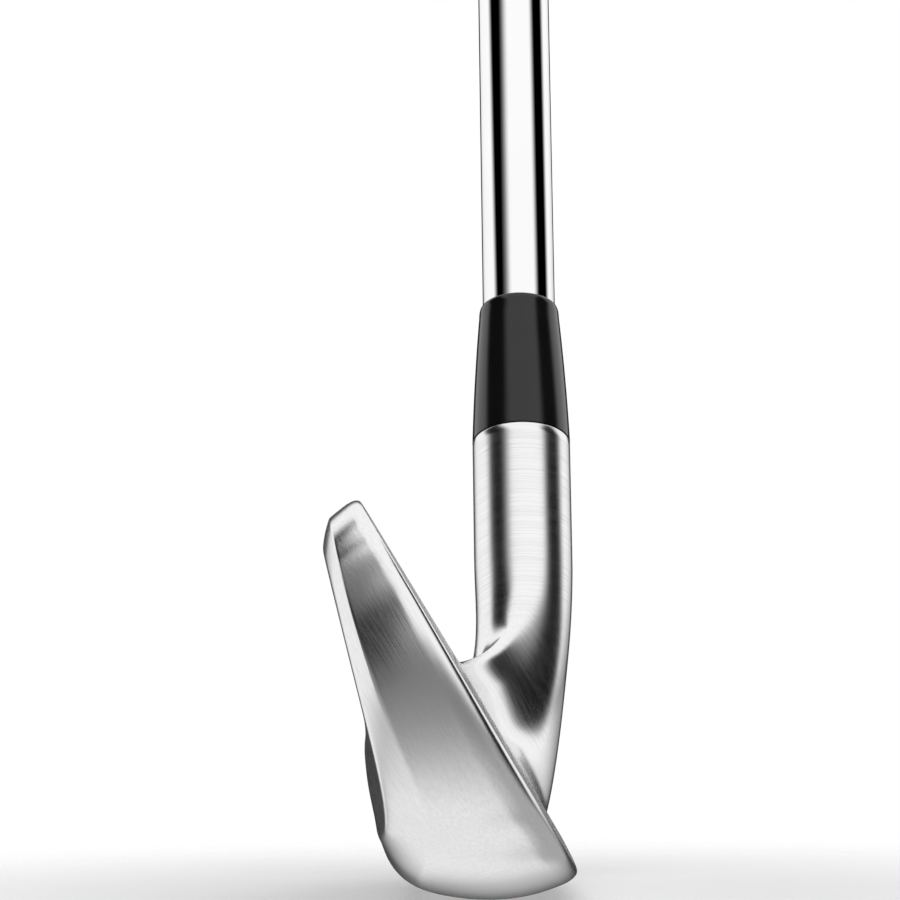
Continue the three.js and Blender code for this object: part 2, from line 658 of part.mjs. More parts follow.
shaftFrame.add(
  named(
    "grip_end_cap",
    turned([
      [capR - 0.3, gripTop - CAP_THICKNESS],
      [capR, gripTop - CAP_THICKNESS + 0.8],
      [capR - 0.1, gripTop - 1.6],
      [capR - 0.9, gripTop - 0.4],
      [capR - 2.2, gripTop],
      [VENT_R, gripTop],
      [VENT_R, gripTop - CAP_THICKNESS],
    ]),
    blackRubber,
  ),
);

export default club;
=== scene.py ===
"""Looks of an iron golf club: forged satin head, black ferrule, chrome stepped shaft and rubber grip.

Metres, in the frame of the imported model: +X the way the face points, +Y from toe to heel, +Z up.
"""

import logging
import math
from dataclasses import dataclass, field
from enum import Enum
from typing import Callable, Iterable, Optional, Sequence, Union

import bmesh
import bpy
from mathutils import Matrix, Vector


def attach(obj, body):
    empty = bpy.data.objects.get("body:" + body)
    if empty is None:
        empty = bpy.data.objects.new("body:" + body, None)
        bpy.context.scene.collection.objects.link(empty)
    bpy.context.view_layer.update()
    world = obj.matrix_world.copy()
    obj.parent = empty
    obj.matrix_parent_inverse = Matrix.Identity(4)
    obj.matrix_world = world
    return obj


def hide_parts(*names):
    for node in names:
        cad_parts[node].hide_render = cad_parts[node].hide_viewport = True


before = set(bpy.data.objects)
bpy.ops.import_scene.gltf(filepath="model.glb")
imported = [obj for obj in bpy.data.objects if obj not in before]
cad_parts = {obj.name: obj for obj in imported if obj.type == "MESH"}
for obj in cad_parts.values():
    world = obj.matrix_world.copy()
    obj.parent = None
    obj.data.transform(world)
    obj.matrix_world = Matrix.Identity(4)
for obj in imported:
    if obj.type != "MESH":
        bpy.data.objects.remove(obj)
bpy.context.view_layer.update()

log = logging.getLogger("iron_club")

MM = 0.001
BODY = "root"


# ------------------------------------------------------------------ sizes shared by the pieces


@dataclass(frozen=True)
class ClubSizes:
    """Sizes that several pieces share, in millimetres and radians."""

    loft: float = math.radians(30)
    lie: float = math.radians(63)
    length: float = 940.0
    axis_x: float = 5.1
    axis_ground_y: float = 35.0
    hosel_r: float = 6.3
    hosel_top: float = 61.0
    bore_r: float = 4.92
    bore_depth: float = 28.0
    tip_r: float = 4.7
    butt_r: float = 7.62
    end_gap: float = 0.3

    @property
    def axis(self) -> Vector:
        """Direction of the shaft, from the ground to the hands."""
        return Vector((0, math.cos(self.lie), math.sin(self.lie)))

    @property
    def toeward(self) -> Vector:
        """Direction square to the shaft in the lie plane, towards the toe."""
        return Vector((0, -math.sin(self.lie), math.cos(self.lie)))

    @property
    def ground(self) -> Vector:
        """Where the shaft axis meets the ground."""
        return Vector((self.axis_x, self.axis_ground_y, 0))

    def on_axis(self, height: float) -> Vector:
        """Point of the shaft axis at a height along it."""
        return self.ground + self.axis * height

    def shaft_matrix(self) -> Matrix:
        """Matrix that takes a piece turned about +Z onto the shaft axis, and millimetres to metres."""
        tilt = Matrix.Rotation(self.lie - math.pi / 2, 4, "X")
        return Matrix.Scale(MM, 4) @ Matrix.Translation(self.ground) @ tilt


SIZES = ClubSizes()


# ------------------------------------------------------------------ small number helpers


def lerp(a: float, b: float, t: float) -> float:
    """Number a share t of the way from a to b."""
    return a + (b - a) * t


def smooth(low: float, high: float, v: float) -> float:
    """Smooth step from 0 at low to 1 at high."""
    t = min(1.0, max(0.0, (v - low) / (high - low)))
    return t * t * (3 - 2 * t)


def curve(points: Sequence[float], t: float) -> float:
    """Catmull-Rom curve through the second and third of four numbers.

    Args:
        points: The four numbers.
        t: Share of the way from the second to the third.

    Returns:
        The number at t.
    """
    a, b, c, d = points
    slope = (c - a) * t
    rise = (2 * a - 5 * b + 4 * c - d) * t**2
    turn = (3 * b - a - 3 * c + d) * t**3
    return 0.5 * (2 * b + slope + rise + turn)


def bend(a: Vector, b: Vector, c: Vector, t: float) -> Vector:
    """Point of a quadratic curve from a to c that leans towards b."""
    return a * (1 - t) ** 2 + b * (2 * t * (1 - t)) + c * t**2


# ------------------------------------------------------------------ shader wiring


@dataclass(frozen=True)
class Wire:
    """A number socket that takes part in Python arithmetic.

    Attributes:
        board: The board whose nodes the arithmetic adds to.
        socket: The output socket.
    """

    board: "Board"
    socket: bpy.types.NodeSocket

    def _with(self, operation: str, *values: "Number") -> "Wire":
        """Adds a Math node on the given values."""
        made = self.board.node("ShaderNodeMath", {"operation": operation}, dict(enumerate(values)))
        return Wire(self.board, made.outputs[0])

    def __add__(self, other: "Number") -> "Wire":
        """Sum."""
        return self._with("ADD", self, other)

    def __radd__(self, other: float) -> "Wire":
        """Sum, number first."""
        return self._with("ADD", other, self)

    def __sub__(self, other: "Number") -> "Wire":
        """Difference."""
        return self._with("SUBTRACT", self, other)

    def __rsub__(self, other: float) -> "Wire":
        """Difference, number first."""
        return self._with("SUBTRACT", other, self)

    def __mul__(self, other: "Number") -> "Wire":
        """Product."""
        return self._with("MULTIPLY", self, other)

    def __rmul__(self, other: float) -> "Wire":
        """Product, number first."""
        return self._with("MULTIPLY", other, self)

    def __truediv__(self, other: "Number") -> "Wire":
        """Quotient."""
        return self._with("DIVIDE", self, other)

    def power(self, other: "Number") -> "Wire":
        """This number to a power."""
        return self._with("POWER", self, other)

    def sine(self) -> "Wire":
        """Sine of this angle in radians."""
        return self._with("SINE", self)

    def arcsine(self) -> "Wire":
        """Angle in radians whose sine this is."""
        return self._with("ARCSINE", self)

    def absolute(self) -> "Wire":
        """This number without its sign."""
        return self._with("ABSOLUTE", self)

    def most(self, other: "Number") -> "Wire":
        """The larger of two numbers."""
        return self._with("MAXIMUM", self, other)

    def angle_from(self, other: "Number") -> "Wire":
        """Angle in radians of the direction whose sine part is this and cosine part is other."""
        return self._with("ARCTAN2", self, other)

    def step(self, low: float, high: float, start: float = 0.0, end: float = 1.0) -> "Wire":
        """Smooth step of this number.

        Args:
            low: Input at which the step starts.
            high: Input at which it ends.
            start: Output up to low.
            end: Output from high on.

        Returns:
            The stepped number.
        """
        sockets = {"Value": self, "From Min": low, "From Max": high, "To Min": start, "To Max": end}
        made = self.board.node("ShaderNodeMapRange", {"interpolation_type": "SMOOTHSTEP"}, sockets)
        return Wire(self.board, made.outputs["Result"])


Number = Union[Wire, float]
Colour = tuple[float, float, float]


class Board:
    """A node tree with short ways to add nodes to it."""

    def __init__(self, tree: bpy.types.NodeTree) -> None:
        """Empties the tree.

        Args:
            tree: The node tree to fill.
        """
        self.tree = tree
        tree.nodes.clear()

    def feed(self, socket: bpy.types.NodeSocket, value: object) -> None:
        """Sets a socket's value, or links a wire or an output to it.

        Args:
            socket: The input socket.
            value: A number, a colour, a vector, a wire or an output socket.
        """
        if isinstance(value, Wire):
            value = value.socket
        if isinstance(value, bpy.types.NodeSocket):
            self.tree.links.new(value, socket)
        elif socket.type == "RGBA" and len(value) == 3:
            socket.default_value = (*value, 1.0)
        else:
            socket.default_value = value

    def node(
        self, kind: str, settings: Optional[dict] = None, sockets: Optional[dict] = None
    ) -> bpy.types.Node:
        """Adds a node.

        Args:
            kind: The node's type.
            settings: Its settings, which are made first.
            sockets: Values or links of its input sockets, by name or number.

        Returns:
            The node.
        """
        made = self.tree.nodes.new(kind)
        for name, value in (settings or {}).items():
            setattr(made, name, value)
        for name, value in (sockets or {}).items():
            self.feed(made.inputs[name], value)
        return made

    def place(self) -> bpy.types.NodeSocket:
        """Position on the object, in metres."""
        return self.node("ShaderNodeTexCoord").outputs["Object"]

    def along(
        self, vector: bpy.types.NodeSocket, direction: Sequence[float], start: float = 0.0
    ) -> Wire:
        """Distance of a position along a direction.

        Args:
            vector: The position.
            direction: The direction.
            start: Distance at the zero point.

        Returns:
            The distance.
        """
        sockets = {0: vector, 1: tuple(direction)}
        made = self.node("ShaderNodeVectorMath", {"operation": "DOT_PRODUCT"}, sockets)
        return Wire(self, made.outputs["Value"]) - start

    def joined(self, x: Number, y: Number, z: Number) -> bpy.types.NodeSocket:
        """Vector of three numbers."""
        return self.node("ShaderNodeCombineXYZ", None, {"X": x, "Y": y, "Z": z}).outputs[0]

    def noise(
        self, vector: bpy.types.NodeSocket, scale: float, detail: float = 2.0, rough: float = 0.5
    ) -> Wire:
        """Noise between 0 and 1.

        Args:
            vector: Where to read it.
            scale: Bumps per unit.
            detail: Number of finer layers.
            rough: Strength of the finer layers.

        Returns:
            The noise.
        """
        sockets = {"Vector": vector, "Scale": scale, "Detail": detail, "Roughness": rough}
        return Wire(self, self.node("ShaderNodeTexNoise", None, sockets).outputs["Fac"])

    def blend(self, share: Number, first: object, second: object) -> bpy.types.NodeSocket:
        """Colour between two colours.

        Args:
            share: 0 for the first and 1 for the second.
            first: A colour or an output.
            second: A colour or an output.

        Returns:
            The colour.
        """
        made = self.node("ShaderNodeMix", {"data_type": "RGBA"})
        self.feed(made.inputs[0], share)
        self.feed(made.inputs[6], first)
        self.feed(made.inputs[7], second)
        return made.outputs[2]

    def relief(self, height: Number, depth: float) -> bpy.types.NodeSocket:
        """Normal of a surface with a small relief.

        Args:
            height: The relief, 0 to 1.
            depth: Its depth in metres.

        Returns:
            The normal.
        """
        sockets = {"Strength": 1.0, "Distance": depth, "Height": height}
        return self.node("ShaderNodeBump", None, sockets).outputs["Normal"]


@dataclass(frozen=True)
class Finish:
    """What every finish has: a name, and a surface that a subclass fills in."""

    name: str

    def sockets(self, board: Board) -> dict:
        """Values and links of the surface shader's sockets."""
        raise NotImplementedError

    def material(self) -> bpy.types.Material:
        """Makes the material.

        Returns:
            The material.
        """
        made = bpy.data.materials.new(self.name)
        made.use_nodes = True
        board = Board(made.node_tree)
        surface = board.node("ShaderNodeBsdfPrincipled", None, self.sockets(board))
        board.node("ShaderNodeOutputMaterial", None, {"Surface": surface.outputs["BSDF"]})
        return made


# ------------------------------------------------------------------ finishes


@dataclass(frozen=True)
class BrushedHead(Finish):
    """Satin plated steel, brushed round the hosel, up the blade's rim and along its face."""

    name: str = "satin_plated_steel"
    colour: Colour = (0.92, 0.92, 0.925)
    shade: Colour = (0.79, 0.79, 0.8)
    roughness: float = 0.2
    streak_depth: float = 6e-6
    hosel_from: float = 27.0
    hosel_full: float = 40.0
    hosel_y: tuple = (0.020, 0.034)
    face_x: float = 12.3
    face_skin: tuple = (0.00003, 0.00012)
    face_heel_y: tuple = (0.024, 0.03)
    cavity_floor: tuple = (-0.0078, -0.0070)
    cavity_mouth: tuple = (-0.0008, -0.002)
    cavity_toe_y: tuple = (-0.034, -0.03)
    cavity_heel_y: tuple = (0.018, 0.024)
    cavity_low_s: tuple = (0.021, 0.024)
    grain_rough: float = 0.16
    cloud_rough: float = 0.05
    face_rough: float = 0.1
    cavity_rough: float = 0.16
    hosel_contrast: float = 1.3

    def sockets(self, board: Board) -> dict:
        """Brushing by region, in relief, roughness and colour."""
        place = board.place()
        up_face = (-math.sin(SIZES.loft), 0, math.cos(SIZES.loft))
        off_face = (math.cos(SIZES.loft), 0, math.sin(SIZES.loft))
        s = board.along(place, up_face)
        p = board.along(place, off_face, self.face_x * MM * math.cos(SIZES.loft))
        y = board.along(place, (0, 1, 0))
        height = board.along(place, SIZES.axis, SIZES.ground.dot(SIZES.axis) * MM)
        across = board.along(place, SIZES.toeward)
        x = board.along(place, (1, 0, 0))

        on_hosel = height.step(self.hosel_from * MM, self.hosel_full * MM) * y.step(*self.hosel_y)
        on_face = p.absolute().step(*self.face_skin, 1.0, 0.0) * y.step(*self.face_heel_y, 1.0, 0.0)
        in_cavity = p.step(*self.cavity_floor, 0.0, 1.0) * p.step(*self.cavity_mouth)
        in_cavity = in_cavity * y.step(*self.cavity_toe_y)
        in_cavity = in_cavity * y.step(*self.cavity_heel_y, 1.0, 0.0) * s.step(*self.cavity_low_s)

        rim = board.noise(board.joined(s * 90, p * 3400, y * 3400), 1.0, 3.0, 0.6)
        rings = board.noise(board.joined(height * 5200, across * 60, x * 60), 1.0, 3.0, 0.65)
        rows = board.noise(board.joined(s * 6500, y * 90, 0.0), 1.0, 2.0, 0.6)
        blasted = board.noise(place, 9000.0, 2.0, 0.6)

        grain = rim + (rings - rim) * on_hosel
        grain = grain + (rows - grain) * on_face
        grain = grain + (blasted - grain) * in_cavity
        cloud = board.noise(place, 70.0, 3.0, 0.55)
        rough = self.roughness + (grain - 0.5) * self.grain_rough + (cloud - 0.5) * self.cloud_rough
        rough = rough + on_face * self.face_rough + in_cavity * self.cavity_rough
        contrast = on_hosel * self.hosel_contrast + 0.9
        tone = ((grain - 0.5) * contrast + (cloud - 0.5) * 0.5 + 0.35).step(0.0, 1.0)
        return {
            "Base Color": board.blend(tone, self.colour, self.shade),
            "Metallic": 1.0,
            "Roughness": rough.most(0.06),
            "Normal": board.relief(grain, self.streak_depth),
        }


@dataclass(frozen=True)
class BrightChrome(Finish):
    """Mirror chrome over a drawn tube, with the faint waviness of polishing."""

    name: str = "bright_chrome"
    colour: Colour = (0.98, 0.98, 0.985)
    shade: Colour = (0.94, 0.94, 0.95)
    roughness: float = 0.035

    def sockets(self, board: Board) -> dict:
        """Faint rings of polish and a slow drift of roughness."""
        place = board.place()
        height = board.along(place, SIZES.axis)
        x = board.along(place, (1, 0, 0))
        rings = board.noise(board.joined(height * 900, x * 25, 0.0), 1.0, 2.0, 0.5)
        cloud = board.noise(place, 45.0, 3.0, 0.55)
        return {
            "Base Color": board.blend(cloud.step(0.25, 0.8), self.colour, self.shade),
            "Metallic": 1.0,
            "Roughness": self.roughness + (cloud - 0.5) * 0.03 + (rings - 0.5) * 0.012,
            "Normal": board.relief(rings, 2e-7),
        }


@dataclass(frozen=True)
class PolishedBlack(Finish):
    """Turned and polished black plastic."""

    name: str = "polished_black"
    colour: Colour = (0.006, 0.006, 0.0065)
    shade: Colour = (0.011, 0.011, 0.012)
    roughness: float = 0.13

    def sockets(self, board: Board) -> dict:
        """Fine turning marks and a little variation of gloss."""
        place = board.place()
        height = board.along(place, SIZES.axis)
        x = board.along(place, (1, 0, 0))
        turning = board.noise(board.joined(height * 4200, x * 30, 0.0), 1.0, 2.0, 0.6)
        cloud = board.noise(place, 160.0, 2.0, 0.5)
        return {
            "Base Color": board.blend(cloud, self.colour, self.shade),
            "Roughness": self.roughness + (turning - 0.5) * 0.05 + (cloud - 0.5) * 0.05,
            "IOR": 1.52,
            "Normal": board.relief(turning, 6e-7),
        }


@dataclass(frozen=True)
class MouldedRubber(Finish):
    """Matt black rubber with a moulded cord texture that runs round the grip in slanted rows."""

    name: str = "moulded_rubber"
    colour: Colour = (0.018, 0.018, 0.019)
    worn: Colour = (0.05, 0.05, 0.052)
    texture: float = 1.0

    def sockets(self, board: Board) -> dict:
        """Crossed rows of fine ribs, grain and dusty high spots."""
        place = board.place()
        height = board.along(place, SIZES.axis)
        x = board.along(place, (1, 0, 0), SIZES.axis_x * MM)
        across = board.along(place, SIZES.toeward, SIZES.ground.dot(SIZES.toeward) * MM)
        turn = x.angle_from(across)
        first = (turn * 26 + height * 2300).sine()
        second = (turn * 26 - height * 2300).sine()
        ribs = (first.most(second)).step(-0.2, 0.9)
        grain = board.noise(place, 5200.0, 3.0, 0.65)
        dust = board.noise(place, 60.0, 3.0, 0.6)
        relief = ribs * (0.75 * self.texture) + grain * 0.35
        wear = dust.step(0.42, 0.78) * (0.25 + ribs * 0.6)
        return {
            "Base Color": board.blend(wear, self.colour, self.worn),
            "Roughness": 0.62 + (grain - 0.5) * 0.18 + dust * 0.08,
            "Normal": board.relief(relief, 1.6e-4),
        }


@dataclass(frozen=True)
class BlankFilm(Finish):
    """Silver-grey label film with two plain darker stripes."""

    name: str = "blank_label_film"
    colour: Colour = (0.42, 0.43, 0.45)
    stripe: Colour = (0.05, 0.052, 0.058)
    low: float = 596.05
    length: float = 36.0
    stripe_width: float = 2.4
    stripe_inset: float = 4.0

    def sockets(self, board: Board) -> dict:
        """Stripes near both ends and a faint fleck."""
        place = board.place()
        height = board.along(place, SIZES.axis, SIZES.ground.dot(SIZES.axis) * MM)
        middle = (self.low + self.length / 2) * MM
        reach = (height - middle).absolute()
        centre = (self.length / 2 - self.stripe_inset) * MM
        half = self.stripe_width * MM / 2
        striped = (reach - centre).absolute().step(half, half + 0.0001, 1.0, 0.0)
        fleck = board.noise(place, 6000.0, 2.0, 0.6)
        ground = board.blend(fleck, self.colour, (0.5, 0.51, 0.53))
        return {
            "Base Color": board.blend(striped, ground, self.stripe),
            "Metallic": 0.35 - striped * 0.35,
            "Roughness": 0.34 + (fleck - 0.5) * 0.12,
            "Normal": board.relief(fleck, 4e-6),
        }


@dataclass(frozen=True)
class Grained(Finish):
    """A plain hidden material: one tone with a grain of its own.

    Attributes:
        colour: Main colour.
        shade: Colour of the grain.
        scale: Grains per metre.
        metallic: 1 for a metal.
        roughness: Roughness in the middle.
        depth: Depth of the grain in metres.
    """

    colour: Colour = (0.5, 0.5, 0.5)
    shade: Colour = (0.4, 0.4, 0.4)
    scale: float = 1500.0
    metallic: float = 0.0
    roughness: float = 0.5
    depth: float = 2e-5

    def sockets(self, board: Board) -> dict:
        """Grain in colour, roughness and relief."""
        grain = board.noise(board.place(), self.scale, 3.0, 0.6)
        return {
            "Base Color": board.blend(grain, self.colour, self.shade),
            "Metallic": self.metallic,
            "Roughness": self.roughness + (grain - 0.5) * 0.2,
            "Normal": board.relief(grain, self.depth),
        }


class Slot(Enum):
    """Material slots of the record."""

    STEEL = "satin_steel"
    BLACK = "black_plastic"
    CHROME = "chrome"
    EPOXY = "epoxy"
    BRASS = "brass"
    LABEL = "label_film"
    TAPE = "tape"
    RUBBER = "grip_rubber"


# ------------------------------------------------------------------ pieces in general


def sharpen(bm: bmesh.types.BMesh, angle: float) -> None:
    """Makes every face smooth and every edge over an angle sharp.

    Args:
        bm: The mesh.
        angle: The angle in radians.
    """
    for face in bm.faces:
        face.smooth = True
    for edge in bm.edges:
        edge.smooth = not (edge.is_manifold and edge.calc_face_angle(0) > angle)


def add_piece(
    name: str, bm: bmesh.types.BMesh, finish: Finish, replaced: Sequence[str]
) -> bpy.types.Object:
    """Makes an object of a finished mesh and ties it to the frame.

    Args:
        name: The piece's name.
        bm: Its mesh in metres, in place. It is freed.
        finish: Its finish.
        replaced: CAD nodes that it stands for.

    Returns:
        The object.
    """
    mesh = bpy.data.meshes.new(name)
    bm.to_mesh(mesh)
    bm.free()
    mesh.materials.append(finish.material())
    piece = bpy.data.objects.new(name, mesh)
    bpy.context.scene.collection.objects.link(piece)
    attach(piece, BODY)
    if replaced:
        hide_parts(*replaced)
    log.info("%s: %d faces", name, len(mesh.polygons))
    return piece


@dataclass
class Turned:
    """A piece turned about the shaft axis.

    Attributes:
        name: The piece's name.
        node: The CAD node that it stands for.
        profile: Closed outline of [radius, height] in millimetres.
        finish: Its finish.
        slot: The record's material slot. Not used.
        steps: Facets round it.
        sharp: Edges over this angle stay sharp, in radians.
    """

    name: str
    node: str
    profile: Sequence[tuple[float, float]]
    finish: Finish
    slot: Slot
    steps: int = 128
    sharp: float = math.radians(38)

    def mesh(self) -> bmesh.types.BMesh:
        """Spins the outline into a closed ring.

        Returns:
            The mesh, in place.
        """
        bm = bmesh.new()
        verts = [bm.verts.new((r, 0, h)) for r, h in self.profile]
        edges = [bm.edges.new((a, b)) for a, b in zip(verts, verts[1:] + verts[:1])]
        spin = {"axis": (0, 0, 1), "cent": (0, 0, 0), "angle": math.tau}
        spin.update(steps=self.steps, use_merge=True)
        bmesh.ops.spin(bm, geom=verts + edges, **spin)
        bmesh.ops.remove_doubles(bm, verts=bm.verts, dist=1e-4)
        bmesh.ops.recalc_face_normals(bm, faces=bm.faces)
        return bm

    def build(self) -> bpy.types.Object:
        """Makes the finished piece.

        Returns:
            The object.
        """
        bm = self.mesh()
        bmesh.ops.transform(bm, matrix=SIZES.shaft_matrix(), verts=bm.verts)
        sharpen(bm, self.sharp)
        return add_piece(self.name, bm, self.finish, [self.node])


def rounded(
    profile: Sequence[tuple[float, float, float]], segments: int = 4
) -> list[tuple[float, float]]:
    """Rounds the corners of a closed outline.

    Args:
        profile: Corners as [radius, height, rounding].
        segments: Steps in each rounding.

    Returns:
        The outline as [radius, height].
    """
    out: list[tuple[float, float]] = []
    count = len(profile)
    for i, (r, h, size) in enumerate(profile):
        here = Vector((r, h, 0))
        if size <= 0:
            out.append((r, h))
            continue
        before = Vector((*profile[i - 1][:2], 0)) - here
        after = Vector((*profile[(i + 1) % count][:2], 0)) - here
        start = here + before.normalized() * min(size, before.length * 0.45)
        end = here + after.normalized() * min(size, after.length * 0.45)
        for k in range(segments + 1):
            point = bend(start, here, end, k / segments)
            out.append((point.x, point.y))
    return out


# ------------------------------------------------------------------ head


@dataclass(frozen=True)
class RimStation:
    """Where the rim runs and how it is shaped there.

    Attributes:
        y: Place along the blade.
        s: Place up the face.
        fall: Slope of the rim going back, in degrees.
        edge: Rounding at the face.
        crown: Swell of the rim.
        run: Rear chamfer's width on the rim.
        inset: Rear chamfer's width on the back.
        round: 0 leaves the rear chamfer flat and 1 rounds it fully.
    """

    y: float
    s: float
    fall: float
    edge: float
    crown: float
    run: float
    inset: float
    round: float


RIM = (
    RimStation(27, 4.8, -1, 2.6, 2.9, 5.0, 6.0, 1.0),
    RimStation(12, 3.75, 0, 2.2, 3.1, 5.0, 6.0, 1.0),
    RimStation(-4, 3.6, 0, 2.0, 3.2, 5.0, 6.0, 1.0),
    RimStation(-18, 4.5, 1, 2.0, 2.8, 4.8, 5.4, 0.9),
    RimStation(-28.5, 7.4, 5, 2.7, 1.8, 4.6, 4.2, 0.5),
    RimStation(-36, 12.8, 12, 3.3, 0.9, 4.7, 3.0, 0.2),
    RimStation(-40.4, 20.8, 21, 3.5, 0.4, 3.9, 2.3, 0.1),
    RimStation(-42.8, 30.5, 28, 2.6, 0.25, 2.8, 2.1, 0.1),
    RimStation(-43.4, 40.5, 31, 1.9, 0.2, 1.9, 2.0, 0.1),
    RimStation(-42.0, 48.2, 33, 1.7, 0.2, 1.6, 2.2, 0.2),
    RimStation(-37.6, 53.6, 36, 1.6, 0.2, 1.8, 2.2, 0.2),
    RimStation(-30.4, 55.4, 38, 1.6, 0.2, 1.8, 2.2, 0.3),
    RimStation(-21, 53.0, 38, 1.5, 0.2, 2.0, 2.2, 0.3),
    RimStation(-4, 45.5, 38, 1.5, 0.2, 2.2, 2.3, 0.4),
    RimStation(12, 38.9, 38, 1.7, 0.3, 2.4, 2.4, 0.6),
    RimStation(27, 33.4, 37, 2.2, 0.5, 2.8, 2.6, 0.9),
)
RIM_FIELDS = ("y", "s", "fall", "edge", "crown", "run", "inset", "round")


@dataclass
class Blade:
    """Shape of the blade: the face plane, the back and the rim between them, in millimetres."""

    face_x: float = 12.3
    back_at_top: float = 6.1
    back_top_s: float = 53.7
    back_slope: float = 0.295
    back_flare: float = 0.02
    back_flare_s: float = 24.0
    muscle_rise: float = 1.8
    muscle_toe_y: float = -36.0
    muscle_heel_y: float = 30.0
    muscle_fade: float = 9.0
    muscle_full_s: float = 25.0
    muscle_top_s: float = 36.5
    cavity_floor: float = 2.9
    cavity_floor_slope: float = 0.05
    cavity_rows: tuple = (0.42, 0.53, 0.86, 0.92)
    cavity_columns: tuple = (0.08, 0.17, 0.79, 0.89)
    corner_low: float = 5.2
    corner_high: float = 10.4
    crown_skew: float = 0.85
    face_edge_share: float = 0.5
    edge_steps: int = 4
    wall_steps: int = 5
    chamfer_steps: int = 3
    rows: tuple = (
        (0, 0.05, 0.13, 0.23, 0.33, 0.42, 0.475, 0.5)
        + (0.53, 0.56, 0.62, 0.72, 0.82, 0.86, 0.9, 0.95, 1)
    )
    columns: tuple = (
        (0, 0.06, 0.1, 0.135, 0.17, 0.24, 0.34, 0.44)
        + (0.54, 0.64, 0.73, 0.8, 0.835, 0.87, 0.92, 0.97, 1)
    )

    def __post_init__(self) -> None:
        """Works out the lines across the rim once."""
        last = len(RIM) - 1
        self.low = [self.rib(g) for g in self.spread(0, self.corner_low, self.columns)]
        self.high = [self.rib(g) for g in self.spread(last, self.corner_high, self.columns)]
        self.toe = [self.rib(g) for g in self.spread(self.corner_low, self.corner_high, self.rows)]

    @property
    def rim_steps(self) -> int:
        """Steps across the rim from face to back."""
        return self.edge_steps + self.wall_steps + self.chamfer_steps

    def point(self, y: float, s: float, p: float) -> Vector:
        """Point at y along the blade, s up the face and p behind it."""
        x = self.face_x - s * math.sin(SIZES.loft) - p * math.cos(SIZES.loft)
        return Vector((x, y, s * math.cos(SIZES.loft) - p * math.sin(SIZES.loft)))

    def back_depth(self, y: float, s: float) -> float:
        """Depth of the back behind the face, before the cavity.

        Args:
            y: Place along the blade.
            s: Place up the face.

        Returns:
            The depth.
        """
        half = self.muscle_fade / 2
        along = smooth(self.muscle_toe_y - half, self.muscle_toe_y + self.muscle_fade, y)
        heel, fade = self.muscle_heel_y, self.muscle_fade
        along *= 1 - smooth(heel - fade, heel + fade, y)
        up = 1 - smooth(self.muscle_full_s, self.muscle_top_s, s)
        flare = self.back_flare * max(0.0, self.back_flare_s - s) ** 2
        plain = self.back_at_top + self.back_slope * (self.back_top_s - s)
        return plain + flare + self.muscle_rise * along * up

    def rim_at(self, g: float) -> RimStation:
        """The rim's values at a station number that may lie between two stations."""
        last = len(RIM) - 1
        i = min(int(g), last - 1)
        near = [RIM[min(max(k, 0), last)] for k in range(i - 1, i + 3)]
        return RimStation(*(curve([getattr(n, key) for n in near], g - i) for key in RIM_FIELDS))

    def spread(self, start: float, end: float, shares: Iterable[float]) -> list[float]:
        """Station numbers at shares of the rim's length.

        Args:
            start: Station number at share 0.
            end: Station number at share 1.
            shares: The shares.

        Returns:
            The station numbers.
        """
        steps = 400
        stops = [lerp(start, end, i / steps) for i in range(steps + 1)]
        spots = [self.rim_at(g) for g in stops]
        lengths = [0.0]
        for a, b in zip(spots, spots[1:]):
            lengths.append(lengths[-1] + math.hypot(b.y - a.y, b.s - a.s))
        out = []
        for share in shares:
            wanted = share * lengths[-1]
            i = max(1, next(k for k, l in enumerate(lengths) if l >= wanted - 1e-9))
            share = (wanted - lengths[i - 1]) / (lengths[i] - lengths[i - 1])
            out.append(lerp(stops[i - 1], stops[i], share))
        return out

    def rib(self, g: float) -> tuple[list[Vector], float, float]:
        """One line across the rim, from the face to the back.

        Args:
            g: Station number.

        Returns:
            Its points, and y and s of its last point.
        """
        r = self.rim_at(g)
        before, after = self.rim_at(max(0, g - 0.02)), self.rim_at(min(len(RIM) - 1, g + 0.02))
        inward = Vector((after.s - before.s, before.y - after.y)).normalized()
        corner = self.point(r.y, r.s, 0)
        in_face = self.point(r.y + inward.x, r.s + inward.y, 0) - corner
        fall = math.radians(r.fall)
        back = Vector((-math.cos(fall), 0, -math.sin(fall)))
        run = self.point(after.y, after.s, 0) - self.point(before.y, before.s, 0)
        outward = run.cross(back).normalized()
        if outward.dot(in_face) > 0:
            outward.negate()
        tilt_s = -back.x * math.sin(SIZES.loft) + back.z * math.cos(SIZES.loft)
        tilt_p = -back.x * math.cos(SIZES.loft) - back.z * math.sin(SIZES.loft)
        length = 0.0
        for _ in range(30):
            length = self.back_depth(r.y, r.s + length * tilt_s) / tilt_p
        far = corner + back * length
        rear_y, rear_s = r.y + inward.x * r.inset, r.s + length * tilt_s + inward.y * r.inset
        rear = self.point(rear_y, rear_s, self.back_depth(rear_y, rear_s))
        wall_start, wall_end = corner + back * r.edge, far - back * r.run
        face_start = corner + in_face * (r.edge * self.face_edge_share)
        pulled = ((wall_end + rear) / 2).lerp(far, r.round)
        edge, chamfer = self.edge_steps, self.chamfer_steps
        points = [bend(face_start, corner, wall_start, i / edge) for i in range(edge)]
        points += [wall_start.lerp(wall_end, i / self.wall_steps) for i in range(self.wall_steps)]
        points += [bend(wall_end, pulled, rear, i / chamfer) for i in range(chamfer + 1)]
        for i in range(1, len(points) - 1):
            share = min(1.0, max(0.0, (points[i] - corner).dot(back) / length)) ** self.crown_skew
            points[i] = points[i] + outward * (r.crown * 4 * share * (1 - share))
        return points, rear_y, rear_s

